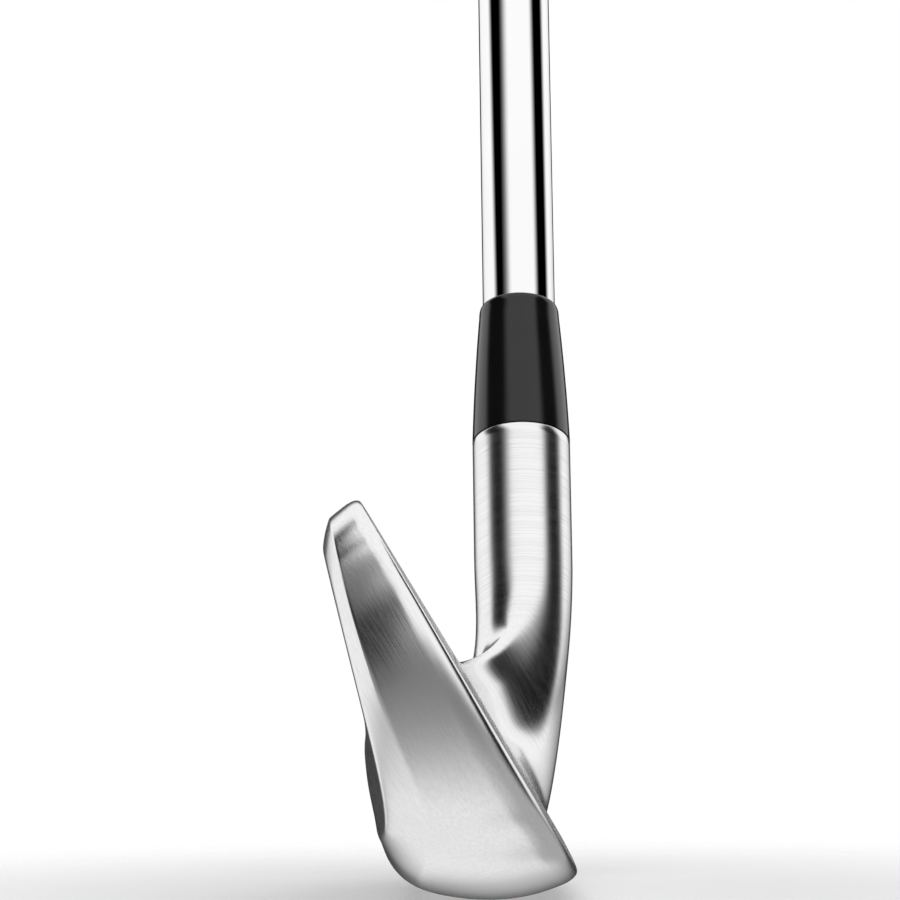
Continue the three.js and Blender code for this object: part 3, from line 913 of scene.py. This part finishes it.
    def filled(self, side: Callable, column: int, row: int) -> list[float]:
        """Point of a patch filled from its four sides.

        Args:
            side: Gives the values of a rib that the patch is filled from.
            column: Column number.
            row: Row number.

        Returns:
            The values inside.
        """
        c, q = self.columns[column], self.rows[row]
        low, high = side(self.low[column]), side(self.high[column])
        heel = [lerp(a, b, q) for a, b in zip(side(self.low[0]), side(self.high[0]))]
        toe = side(self.toe[row])
        ends = [lerp(a, b, q) for a, b in zip(side(self.low[-1]), side(self.high[-1]))]
        out = []
        for k, value in enumerate(low):
            corners = lerp(heel[k], ends[k], c)
            out.append(lerp(value, high[k], q) + lerp(heel[k], toe[k], c) - corners)
        return out

    def front(self, column: int, row: int) -> Vector:
        """Point of the face."""
        return Vector(self.filled(lambda rib: list(rib[0][0]), column, row))

    def rear(self, column: int, row: int) -> Vector:
        """Point of the back, with the cavity sunk into it."""
        y, s = self.filled(lambda rib: [rib[1], rib[2]], column, row)
        c, q = self.columns[column], self.rows[row]
        low_out, low_in, high_in, high_out = self.cavity_rows
        heel_out, heel_in, toe_in, toe_out = self.cavity_columns
        sunk = smooth(low_out, low_in, q) * (1 - smooth(high_in, high_out, q))
        sunk *= smooth(heel_out, heel_in, c) * (1 - smooth(toe_in, toe_out, c))
        floor = self.cavity_floor + self.cavity_floor_slope * (self.back_top_s - s)
        return self.point(y, s, lerp(self.back_depth(y, s), floor, sunk))

    def at(self, column: int, row: int, step: int) -> Vector:
        """Point of the blade at a column, a row and a step across the rim."""
        if step == 0:
            return self.front(column, row)
        if step == self.rim_steps:
            return self.rear(column, row)
        if row == 0:
            return self.low[column][0][step]
        if row == len(self.rows) - 1:
            return self.high[column][0][step]
        return self.toe[row][0][step]


@dataclass
class IronHead:
    """The one-piece head: blade, neck and hosel, with score lines and the bore."""

    blade: Blade = field(default_factory=Blade)
    finish: Finish = field(default_factory=BrushedHead)
    neck_top: float = 42.0
    neck_steps: int = 12
    hosel_rings: int = 5
    blade_pull: float = 0.74
    hosel_pull: float = 0.82
    shift: float = 0.92
    fillet: float = 6.0
    fillet_lines: tuple = (15, 24)
    fillet_ribs: int = 4
    fillet_z: tuple = (19, 31)
    fillet_low: float = 0.2
    fillet_ends: tuple = (0.15, 0.85)
    taper: float = 0.2
    taper_z: tuple = (6, 36)
    side_drop: float = 1.8
    even_passes: int = 30
    even_ramp: float = 4.0
    twist: float = math.radians(12.9)
    smoothing: int = 2
    crease_front: float = 0.85
    crease_rear: float = 0.95
    crease_full_y: float = -27.0
    crease_from_y: float = -12.0
    countersink: float = 0.15
    bore_chamfer: float = 0.15
    score_count: int = 9
    score_pitch: float = 3.3
    score_first_s: float = 6.6
    score_width: float = 0.8
    score_depth: float = 0.45
    score_toe_y: float = -24.0
    score_heel_y: float = 19.0

    def cage(self) -> bmesh.types.BMesh:
        """Builds the coarse mesh of blade, neck and hosel, open at the hosel's top.

        Returns:
            The mesh in millimetres.
        """
        bm = bmesh.new()
        names = ("column", "row", "step")
        column, row, step = (bm.verts.layers.float.new(name) for name in names)
        columns, rows = len(self.blade.columns) - 1, len(self.blade.rows) - 1
        steps = self.blade.rim_steps
        bmesh.ops.create_grid(bm, x_segments=columns, y_segments=rows, size=0.5)
        for vert in bm.verts:
            vert[column] = round((vert.co.x + 0.5) * columns)
            vert[row] = round((vert.co.y + 0.5) * rows)
        made = bmesh.ops.extrude_face_region(bm, geom=bm.faces[:])
        for vert in made["geom"]:
            if isinstance(vert, bmesh.types.BMVert):
                vert[step] = steps
                vert.co.z -= 1
        across = [e for e in bm.edges if abs(e.verts[0][step] - e.verts[1][step]) > steps / 2]
        bmesh.ops.subdivide_edges(bm, edges=across, cuts=steps - 1, use_grid_fill=True)
        heel = [f for f in bm.faces if all(v[column] < 0.5 for v in f.verts)]
        bmesh.ops.delete(bm, geom=heel, context="FACES")
        for vert in bm.verts:
            vert.co = self.blade.at(round(vert[column]), round(vert[row]), round(vert[step]))
        self.add_creases(bm, step, row)
        self.add_neck(bm, row, step)
        bmesh.ops.recalc_face_normals(bm, faces=bm.faces)
        return bm

    def add_creases(self, bm: bmesh.types.BMesh, step: object, row: object) -> None:
        """Creases the lines where the toe's wall meets its roll and its rear chamfer.

        Args:
            bm: The mesh.
            step: Layer with the step across the rim.
            row: Layer with the row. Not used.
        """
        crease = bm.edges.layers.float.get("crease_edge") or bm.edges.layers.float.new("crease_edge")
        front = self.blade.edge_steps
        rear = self.blade.rim_steps - self.blade.chamfer_steps
        for edge in bm.edges:
            a, b = edge.verts
            if abs(a[step] - b[step]) > 0.5:
                continue
            middle = (a.co + b.co) / 2
            toe = 1 - smooth(self.crease_full_y, self.crease_from_y, middle.y)
            for place, amount in ((front, self.crease_front), (rear, self.crease_rear)):
                if abs(a[step] - place) < 0.1:
                    edge[crease] = amount * toe

    def add_neck(self, bm: bmesh.types.BMesh, row: object, step: object) -> None:
        """Draws the blade's open heel up into the round hosel.

        Args:
            bm: The mesh.
            row: Layer with the row.
            step: Layer with the step across the rim.
        """
        rows, steps = len(self.blade.rows) - 1, self.blade.rim_steps
        count = 2 * (rows + steps)

        def number(vert: bmesh.types.BMVert) -> int:
            r, k = round(vert[row]), round(vert[step])
            if k == 0:
                return r
            if r == rows:
                return rows + k
            if k == steps:
                return rows + steps + (rows - r)
            return 2 * rows + steps + (steps - k)

        def on_hosel(vert: bmesh.types.BMVert, height: float) -> Vector:
            angle = (number(vert) - rows / 2) / count * math.tau + self.twist
            out = Vector((math.cos(angle), 0, 0)) + SIZES.toeward * math.sin(angle)
            return SIZES.on_axis(height) + out * SIZES.hosel_r

        paths = {}
        for vert in {v for e in bm.edges if e.is_boundary for v in e.verts}:
            inner = next(e.other_vert(vert) for e in vert.link_edges if not e.is_boundary)
            leaving = vert.co - inner.co
            leaving.x = 0
            leaving.normalize()
            start, end = vert.co.copy(), on_hosel(vert, self.neck_top)
            det = leaving.y * SIZES.axis.z - leaving.z * SIZES.axis.y
            reach = ((end.y - start.y) * SIZES.axis.z - (end.z - start.z) * SIZES.axis.y) / det
            meeting = start + leaving * reach
            first = start + leaving * max(2.0, reach * self.blade_pull)
            second = end.lerp(Vector((end.x, meeting.y, meeting.z)), self.hosel_pull)
            paths[number(vert)] = (start, first, second, end)

        for k in range(1, self.neck_steps + 1):
            t = k / self.neck_steps
            ring = [self.neck_point(paths[i], i, count, t) for i in range(count)]
            evened = min(1.0, self.even_ramp * t, self.even_ramp * (1 - t))
            for _ in range(self.even_passes):
                xs = [point.x for point in ring]
                for i, point in enumerate(ring):
                    point.x = lerp(xs[i], (xs[i - 1] + 2 * xs[i] + xs[(i + 1) % count]) / 4, evened)
            for vert in self.grow(bm):
                vert.co = ring[number(vert)]
        for k in range(1, self.hosel_rings + 1):
            height = lerp(self.neck_top, SIZES.hosel_top - self.countersink, k / self.hosel_rings)
            for vert in self.grow(bm):
                vert.co = on_hosel(vert, height)

    def neck_point(self, path: tuple, i: int, count: int, t: float) -> Vector:
        """One point of the neck.

        Args:
            path: The four points of its curve.
            i: Number of the line, counted from the sole's.
            count: How many lines go round the neck.
            t: Share of the way up.

        Returns:
            The point.
        """
        start, first, second, end = path
        rest = 1 - t
        point = start * rest**3 + first * (3 * rest**2 * t)
        point += second * (3 * rest * t**2) + end * t**3
        straight = lerp(start.x, end.x, smooth(0, self.shift, t))
        reach = (point - SIZES.ground).dot(SIZES.toeward)
        along_face = start.x + self.face_plane_x(point.z) - self.face_plane_x(start.z)
        front_x = self.neck_front_x(reach, point.z)
        hollow = lerp(along_face, front_x, smooth(0, self.fillet_ends[0], t))
        hollow = lerp(hollow, end.x, smooth(self.fillet_ends[1], 1, t))
        past_top = smooth(*self.fillet_lines, i)
        past = past_top if i < count / 2 else smooth(0, self.fillet_ribs, count - i)
        share = (1 - past) * lerp(self.fillet_low, 1, smooth(*self.fillet_z, point.z))
        point.x = lerp(straight, hollow, share)
        return point

    def face_plane_x(self, z: float) -> float:
        """Where the face plane is at a height."""
        return self.blade.face_x - z * math.tan(SIZES.loft)

    def neck_front_x(self, reach: float, z: float) -> float:
        """Front of the neck: the round hosel carried down into the face plane, with a hollow between.

        Args:
            reach: Distance from the shaft axis, towards the toe.
            z: Height.

        Returns:
            Its place along the target line.
        """
        side = abs(reach) - SIZES.hosel_r
        size = 1 - self.taper * (1 - smooth(*self.taper_z, z))
        bulge = size * math.sqrt(max(0.0, SIZES.hosel_r**2 - reach**2))
        rounded_x = SIZES.axis_x + (bulge if side < 0 else -self.side_drop * side)
        flat_x = self.face_plane_x(z)
        share = min(1.0, max(0.0, 0.5 + (flat_x - rounded_x) / (2 * self.fillet)))
        return lerp(rounded_x, flat_x, share) + self.fillet * share * (1 - share)

    def grow(self, bm: bmesh.types.BMesh) -> list[bmesh.types.BMVert]:
        """Extrudes the open border by one ring and returns the new points."""
        border = [e for e in bm.edges if e.is_boundary]
        made = bmesh.ops.extrude_edge_only(bm, edges=border)
        return [v for v in made["geom"] if isinstance(v, bmesh.types.BMVert)]

    def subdivided(self, bm: bmesh.types.BMesh) -> bmesh.types.BMesh:
        """Smooths the cage with a subdivision surface.

        Args:
            bm: The cage, which is freed.

        Returns:
            The smooth mesh in millimetres.
        """
        mesh = bpy.data.meshes.new("head_cage")
        bm.to_mesh(mesh)
        bm.free()
        carrier = bpy.data.objects.new("head_cage", mesh)
        bpy.context.scene.collection.objects.link(carrier)
        surface = carrier.modifiers.new("smooth", "SUBSURF")
        surface.levels = surface.render_levels = self.smoothing
        graph = bpy.context.evaluated_depsgraph_get()
        smooth_mesh = bpy.data.meshes.new_from_object(carrier.evaluated_get(graph))
        out = bmesh.new()
        out.from_mesh(smooth_mesh)
        bpy.data.objects.remove(carrier)
        bpy.data.meshes.remove(mesh)
        bpy.data.meshes.remove(smooth_mesh)
        return out

    def bore(self, bm: bmesh.types.BMesh) -> None:
        """Turns the open top of the hosel in, down the bore and closes it."""
        rings = (
            (SIZES.hosel_r - self.countersink * 0.4, SIZES.hosel_top - self.countersink * 0.2),
            (SIZES.hosel_r - self.countersink, SIZES.hosel_top),
            (SIZES.bore_r + self.bore_chamfer, SIZES.hosel_top),
            (SIZES.bore_r, SIZES.hosel_top - self.bore_chamfer),
            (SIZES.bore_r, SIZES.hosel_top - SIZES.bore_depth),
        )
        for radius, height in rings:
            for vert in self.grow(bm):
                along = (vert.co - SIZES.ground).dot(SIZES.axis)
                out = vert.co - SIZES.on_axis(along)
                vert.co = SIZES.on_axis(height) + out.normalized() * radius
        border = [e for e in bm.edges if e.is_boundary]
        bmesh.ops.edgeloop_fill(bm, edges=border)

    def score(self, bm: bmesh.types.BMesh) -> None:
        """Cuts the score lines into the face."""
        loft = SIZES.loft
        normal = Vector((math.cos(loft), 0, math.sin(loft)))
        up = Vector((-math.sin(loft), 0, math.cos(loft)))
        origin = Vector((self.blade.face_x, 0, 0))

        def on_face(low: float, high: float, heel: float, toe: float) -> list[bmesh.types.BMFace]:
            found = []
            for face in bm.faces:
                if face.normal.dot(normal) < 0.99999:
                    continue
                spots = [v.co - origin for v in face.verts]
                if any(abs(v.dot(normal)) > 0.01 for v in spots):
                    continue
                heights = [v.dot(up) for v in spots]
                places = [v.y for v in spots]
                level = max(heights) > low and min(heights) < high
                if level and max(places) > toe and min(places) < heel:
                    found.append(face)
            return found

        def cut(faces: list[bmesh.types.BMFace], point: Vector, direction: Vector) -> None:
            edges = {e for f in faces for e in f.edges}
            verts = {v for f in faces for v in f.verts}
            geom = [*verts, *edges, *faces]
            bmesh.ops.bisect_plane(bm, geom=geom, dist=1e-4, plane_co=point, plane_no=direction)

        bm.normal_update()
        half = self.score_width / 2
        top = self.score_first_s + (self.score_count - 1) * self.score_pitch + half
        for y in (self.score_toe_y, self.score_heel_y):
            touched = on_face(self.score_first_s - half, top, y + 0.1, y - 0.1)
            cut(touched, Vector((0, y, 0)), Vector((0, 1, 0)))
        for i in range(self.score_count):
            s = self.score_first_s + i * self.score_pitch
            for edge in (s - half, s + half):
                faces = on_face(edge - 0.01, edge + 0.01, self.score_heel_y, self.score_toe_y)
                cut(faces, origin + up * edge, up)
            bm.normal_update()
            floor = []
            for face in on_face(s - half, s + half, self.score_heel_y, self.score_toe_y):
                centre = face.calc_center_median() - origin
                between = self.score_toe_y < centre.y < self.score_heel_y
                inside = abs(centre.dot(up) - s) < half and between
                if inside:
                    floor.append(face)
            made = bmesh.ops.extrude_face_region(bm, geom=floor)
            moved = [v for v in made["geom"] if isinstance(v, bmesh.types.BMVert)]
            bmesh.ops.translate(bm, verts=moved, vec=normal * -self.score_depth)
            gone = [f for f in floor if f.is_valid]
            if gone:
                bmesh.ops.delete(bm, geom=gone, context="FACES_ONLY")
            bm.normal_update()

    def build(self) -> bpy.types.Object:
        """Makes the finished head.

        Returns:
            The object.
        """
        bm = self.subdivided(self.cage())
        self.bore(bm)
        self.score(bm)
        bmesh.ops.remove_doubles(bm, verts=bm.verts, dist=1e-5)
        bmesh.ops.recalc_face_normals(bm, faces=bm.faces)
        bmesh.ops.scale(bm, vec=(MM, MM, MM), verts=bm.verts)
        sharpen(bm, math.radians(40))
        return add_piece("head_forging", bm, self.finish, ["iron_head"])


# ------------------------------------------------------------------ shaft, ferrule and grip


@dataclass
class Shaft:
    """The stepped steel tube."""

    low: float = 35.1
    high: float = 935.5
    wall_tip: float = 0.95
    wall_butt: float = 0.55
    first_step: float = 236.0
    pitch: float = 44.45
    steps: int = 11
    slope: float = 2.2

    def profile(self) -> list[tuple[float, float]]:
        """Outline of the tube, outside going up and inside coming down."""
        rise = (SIZES.butt_r - SIZES.tip_r) / self.steps
        outer: list[tuple[float, float, float]] = [(SIZES.tip_r, self.low, 0.3)]
        for i in range(self.steps):
            at = self.first_step + i * self.pitch
            outer.append((SIZES.tip_r + i * rise, at, 0.5))
            outer.append((SIZES.tip_r + (i + 1) * rise, at + self.slope, 0.5))
        outer.append((SIZES.butt_r, self.high, 0.2))
        inner = [
            (SIZES.butt_r - self.wall_butt, self.high, 0.0),
            (SIZES.butt_r - self.wall_butt, self.first_step + self.steps * self.pitch, 0.0),
            (SIZES.tip_r - self.wall_tip, self.first_step, 0.0),
            (SIZES.tip_r - self.wall_tip, self.low, 0.0),
        ]
        return rounded([*outer, *inner])

    def build(self) -> bpy.types.Object:
        """Makes the tube."""
        return Turned("steel_shaft", "shaft", self.profile(), BrightChrome(), Slot.CHROME).build()


@dataclass
class Ferrule:
    """The tapered collar between hosel and shaft."""

    length: float = 19.5
    inner: float = 4.75
    wall: float = 0.45
    shoulder: float = 1.3
    barrel: float = 0.12
    steps: int = 14

    def profile(self) -> list[tuple[float, float]]:
        """Outline: a slightly swelled cone with a rounded top."""
        bottom = SIZES.hosel_top + SIZES.end_gap / 2
        top = self.inner + self.wall
        side = []
        for i in range(self.steps + 1):
            t = i / self.steps
            radius = lerp(SIZES.hosel_r, top, t) + self.barrel * 4 * t * (1 - t)
            side.append((radius, bottom + t * (self.length - self.shoulder)))
        lip = self.inner + 0.12
        high = bottom + self.length
        corner = Vector((top - 0.02, high - 0.05, 0))
        start, end = Vector((*side[-1], 0)), Vector((lip, high, 0))
        crown = [bend(start, corner, end, k / 6) for k in range(1, 7)]
        return side + [(c.x, c.y) for c in crown] + [(self.inner, high), (self.inner, bottom)]

    def build(self) -> bpy.types.Object:
        """Makes the collar."""
        return Turned("ferrule_collar", "ferrule", self.profile(), PolishedBlack(), Slot.BLACK).build()


@dataclass
class Grip:
    """The rubber sleeve, its end cap and the label band below them."""

    length: float = 267.0
    bore: float = 8.02
    mouth_wall: float = 0.9
    butt_wall: float = 4.9
    cap_overhang: float = 0.6
    cap_height: float = 4.2
    spigot: float = 6.0
    vent: float = 1.6
    groove_depth: float = 0.35
    groove_width: float = 1.0
    label_low: float = 596.05
    label_length: float = 36.0
    label_film: float = 0.12

    @property
    def mouth(self) -> float:
        """Height of the grip's mouth."""
        return SIZES.length - self.length

    @property
    def butt(self) -> float:
        """Height of the sleeve's butt end."""
        return SIZES.length - self.cap_height - SIZES.end_gap

    def outer(self, height: float) -> float:
        """Outside radius of the sleeve at a height."""
        mouth_r, butt_r = self.bore + self.mouth_wall, self.bore + self.butt_wall
        stops = (
            (self.mouth, mouth_r),
            (self.mouth + self.length * 0.45, lerp(mouth_r, butt_r, 0.42)),
            (self.mouth + self.length * 0.78, lerp(mouth_r, butt_r, 0.72)),
            (self.butt - self.spigot, butt_r),
            (self.butt, butt_r),
        )
        for (a, low), (b, high) in zip(stops, stops[1:]):
            if height <= b:
                return lerp(low, high, (height - a) / (b - a))
        return butt_r

    def sleeve(self) -> bpy.types.Object:
        """Makes the sleeve, with grooves near its mouth and its butt."""
        corners = [
            (self.outer(self.mouth) - 0.4, self.mouth, 0.2),
            (self.outer(self.mouth + 1.2), self.mouth + 1.2, 0.5),
        ]
        grooves = [self.mouth + 7, self.mouth + 10.5, self.mouth + 14, self.butt - 16, self.butt - 12.5]
        plain = [self.mouth + self.length * f for f in (0.2, 0.45, 0.6, 0.78)]
        for height in sorted(grooves + plain):
            r = self.outer(height)
            if height in plain:
                corners.append((r, height, 6.0))
                continue
            half = self.groove_width / 2
            corners.append((r, height - half, 0.2))
            corners.append((r - self.groove_depth, height - half * 0.6, 0.15))
            corners.append((r - self.groove_depth, height + half * 0.6, 0.15))
            corners.append((r, height + half, 0.2))
        corners.append((self.outer(self.butt - self.spigot), self.butt - self.spigot, 2.0))
        corners.append((self.outer(self.butt), self.butt, 0.4))
        corners += [(self.bore, self.butt, 0.0), (self.bore, self.mouth, 0.0)]
        finish = MouldedRubber()
        profile = rounded(corners)
        return Turned("grip_rubber_sleeve", "grip_sleeve", profile, finish, Slot.RUBBER).build()

    def cap(self) -> bpy.types.Object:
        """Makes the end cap with its vent hole and a shallow ring round it."""
        r = self.bore + self.butt_wall + self.cap_overhang
        low, high = SIZES.length - self.cap_height, SIZES.length
        corners = [
            (r - 0.3, low, 0.2),
            (r, low + 0.8, 0.5),
            (r - 0.1, high - 1.6, 0.8),
            (r - 2.2, high, 0.9),
            (8.4, high, 0.1),
            (8.2, high - 0.3, 0.1),
            (7.6, high - 0.3, 0.1),
            (7.4, high, 0.1),
            (self.vent + 0.5, high, 0.2),
            (self.vent, high - 0.5, 0.2),
            (self.vent, low, 0.0),
        ]
        finish = MouldedRubber(name="moulded_rubber_cap", texture=0.15)
        return Turned("grip_cap", "grip_end_cap", rounded(corners), finish, Slot.RUBBER).build()

    def label(self) -> bpy.types.Object:
        """Makes the blank label band round the shaft."""
        inner = SIZES.tip_r + (SIZES.butt_r - SIZES.tip_r) / 11 * 9 + 0.05
        outer = inner + self.label_film
        low, high = self.label_low, self.label_low + self.label_length
        corners = [(outer, low, 0.05), (outer, high, 0.05), (inner, high, 0.0), (inner, low, 0.0)]
        finish = BlankFilm(low=low, length=self.label_length)
        return Turned("label_band", "shaft_label_band", rounded(corners), finish, Slot.LABEL).build()


@dataclass
class HiddenParts:
    """CAD nodes that keep their shape and get a better material."""

    def dress(self) -> None:
        """Gives each hidden node its material."""
        finishes = {
            "hosel_epoxy_layer": Grained(
                "cured_epoxy", (0.5, 0.44, 0.28), (0.38, 0.33, 0.2), 1200.0, 0.0, 0.4
            ),
            "swing_weight_plug": Grained(
                "turned_brass", (0.75, 0.58, 0.26), (0.6, 0.45, 0.2), 2500.0, 1.0, 0.32, 4e-6
            ),
            "grip_tape": Grained(
                "cream_tape", (0.74, 0.69, 0.58), (0.62, 0.57, 0.46), 3000.0, 0.0, 0.8, 4e-5
            ),
        }
        for name, finish in finishes.items():
            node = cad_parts[name]
            made = finish.material()
            for slot in node.material_slots:
                slot.material = made
            log.info("%s: dressed", name)


# ------------------------------------------------------------------ studio


@dataclass(frozen=True)
class Cloth:
    """A light or dark patch of the studio's surround, in degrees round the club and above its level.

    Attributes:
        light: Brightness of the patch.
        turns: Where it starts and ends round the club, 0 being the toe's side and 90 the face's.
        rises: Its lower and upper edge.
        turn_soft: Softness of its start and its end.
        rise_soft: Softness of its lower and its upper edge.
        lean: How far it moves round for each degree down from lean_from.
        lean_from: Height at which it stands at its turns.
        both_ways: Whether the turns count on either side of the toe's.
    """

    light: float
    turns: tuple[float, float]
    rises: tuple[float, float]
    turn_soft: tuple[float, float] = (3.0, 3.0)
    rise_soft: tuple[float, float] = (4.0, 4.0)
    lean: float = 0.0
    lean_from: float = 30.0
    both_ways: bool = False

    def mask(self, turn: Wire, rise: Wire) -> Wire:
        """1 on the patch and 0 off it.

        Args:
            turn: Direction round the club, in degrees.
            rise: Direction above its level, in degrees.

        Returns:
            The mask.
        """
        if self.both_ways:
            turn = turn.absolute()
        if self.lean:
            turn = turn + (rise - self.lean_from) * self.lean
        (start, end), (low, high) = self.turns, self.rises
        out = rise.step(low - self.rise_soft[0], low + self.rise_soft[0])
        out = out * rise.step(high - self.rise_soft[1], high + self.rise_soft[1], 1.0, 0.0)
        out = out * turn.step(start - self.turn_soft[0], start + self.turn_soft[0])
        if end < 180:
            out = out * turn.step(end - self.turn_soft[1], end + self.turn_soft[1], 1.0, 0.0)
        return out


STUDIO_CLOTHS = (
    Cloth(0.42, (45, 150), (-62, -6), (18, 10), (10, 8)),
    Cloth(0.95, (-140, -72), (-28, 12), (8, 10), (8, 10)),
    Cloth(0.2, (-62, -14), (14, 42), (16, 12), (8, 6)),
    Cloth(0.02, (-80, 2), (-8, 24), (20, 6), (8, 13)),
    Cloth(0.0, (-126, -48), (26, 54), (10, 20), (4, 5)),
    Cloth(0.0, (70, 112), (-2, 52), (10, 8), (8, 6)),
    Cloth(0.03, (153, 180), (-14, 24), (3, 3), (10, 6), both_ways=True),
)


@dataclass
class Studio:
    """Pale floor, soft light all round with dark flags, and the camera."""

    eye: tuple = (-10.4, -777.5, 49.3)
    yaw: float = 0.43
    pitch: float = 0.298
    roll: float = -0.461
    focal: float = 260.6
    sensor: float = 36.0
    low_glow: float = 0.9
    low_shade: float = 0.2
    floor_size: float = 0.5
    floor_solid: float = 0.03
    floor_gone: float = 0.12
    white: Colour = (1.0, 1.0, 1.0)

    def camera(self) -> None:
        """Sets the camera, nearly level and looking along the face plane at the toe."""
        yaw, pitch, roll = (math.radians(a) for a in (self.yaw, self.pitch, self.roll))
        level = math.cos(pitch)
        look = Vector((math.sin(yaw) * level, math.cos(yaw) * level, math.sin(pitch)))
        right = look.cross(Vector((0, 0, 1))).normalized()
        up = right.cross(look)
        side = right * math.cos(roll) + up * math.sin(roll)
        top = up * math.cos(roll) - right * math.sin(roll)
        data = bpy.data.cameras.new("camera")
        data.lens = self.focal
        data.sensor_width = self.sensor
        data.clip_start = 0.01
        data.clip_end = 100.0
        camera = bpy.data.objects.new("camera", data)
        turn = Matrix((side, top, -look)).transposed().to_4x4()
        camera.matrix_world = Matrix.Translation(Vector(self.eye) * MM) @ turn
        bpy.context.scene.collection.objects.link(camera)
        bpy.context.scene.camera = camera

    def surround(self) -> None:
        """Light from all round: white, with two dark flags and a darker low front."""
        world = bpy.data.worlds.new("studio")
        world.use_nodes = True
        bpy.context.scene.world = world
        board = Board(world.node_tree)
        place = board.node("ShaderNodeTexCoord").outputs["Generated"]
        x = board.along(place, (1, 0, 0))
        front = board.along(place, (0, -1, 0))
        z = board.along(place, (0, 0, 1))
        turn = x.angle_from(front) * (180 / math.pi)
        rise = z.arcsine() * (180 / math.pi)

        light = rise.step(-58, -8, self.low_glow, self.low_shade)
        light = light + (1.0 - light) * rise.step(-6, 12)
        for cloth in STUDIO_CLOTHS:
            mask = cloth.mask(turn, rise)
            light = light + (cloth.light - light) * mask
        seen = board.node("ShaderNodeBackground", None, {"Color": self.white, "Strength": 1.0})
        lit = board.node("ShaderNodeBackground", None, {"Color": self.white, "Strength": light})
        path = board.node("ShaderNodeLightPath")
        mixed = board.node("ShaderNodeMixShader")
        board.feed(mixed.inputs[0], path.outputs["Is Camera Ray"])
        board.feed(mixed.inputs[1], lit.outputs[0])
        board.feed(mixed.inputs[2], seen.outputs[0])
        board.node("ShaderNodeOutputWorld", None, {"Surface": mixed.outputs[0]})

    def floor(self) -> None:
        """Lays a pale floor that fades out into the white."""
        bm = bmesh.new()
        bmesh.ops.create_circle(bm, cap_ends=True, segments=96, radius=self.floor_size)
        mesh = bpy.data.meshes.new("floor")
        bm.to_mesh(mesh)
        bm.free()
        material = bpy.data.materials.new("pale_floor")
        material.use_nodes = True
        board = Board(material.node_tree)
        place = board.place()
        across = board.along(place, (1, 0, 0))
        along = board.along(place, (0, 1, 0), 0.01)
        reach = (across * across + along * along).power(0.5)
        sockets = {
            "Base Color": (0.93, 0.93, 0.93),
            "Roughness": 0.9,
            "Emission Color": (1.0, 1.0, 1.0),
            "Emission Strength": 0.12,
            "Alpha": reach.step(self.floor_solid, self.floor_gone, 1.0, 0.0),
        }
        surface = board.node("ShaderNodeBsdfPrincipled", None, sockets)
        board.node("ShaderNodeOutputMaterial", None, {"Surface": surface.outputs[0]})
        mesh.materials.append(material)
        floor = bpy.data.objects.new("floor", mesh)
        bpy.context.scene.collection.objects.link(floor)
        floor.visible_glossy = False

    def build(self) -> None:
        """Sets up camera, light and floor."""
        self.camera()
        self.surround()
        self.floor()
        bpy.context.scene.view_settings.view_transform = "Standard"


def main() -> None:
    """Builds every piece in order, then the studio."""
    logging.basicConfig(level=logging.INFO, format="%(name)s %(message)s")
    IronHead().build()
    Ferrule().build()
    Shaft().build()
    grip = Grip()
    grip.sleeve()
    grip.cap()
    grip.label()
    HiddenParts().dress()
    Studio().build()


if __name__ == "__main__":
    main()
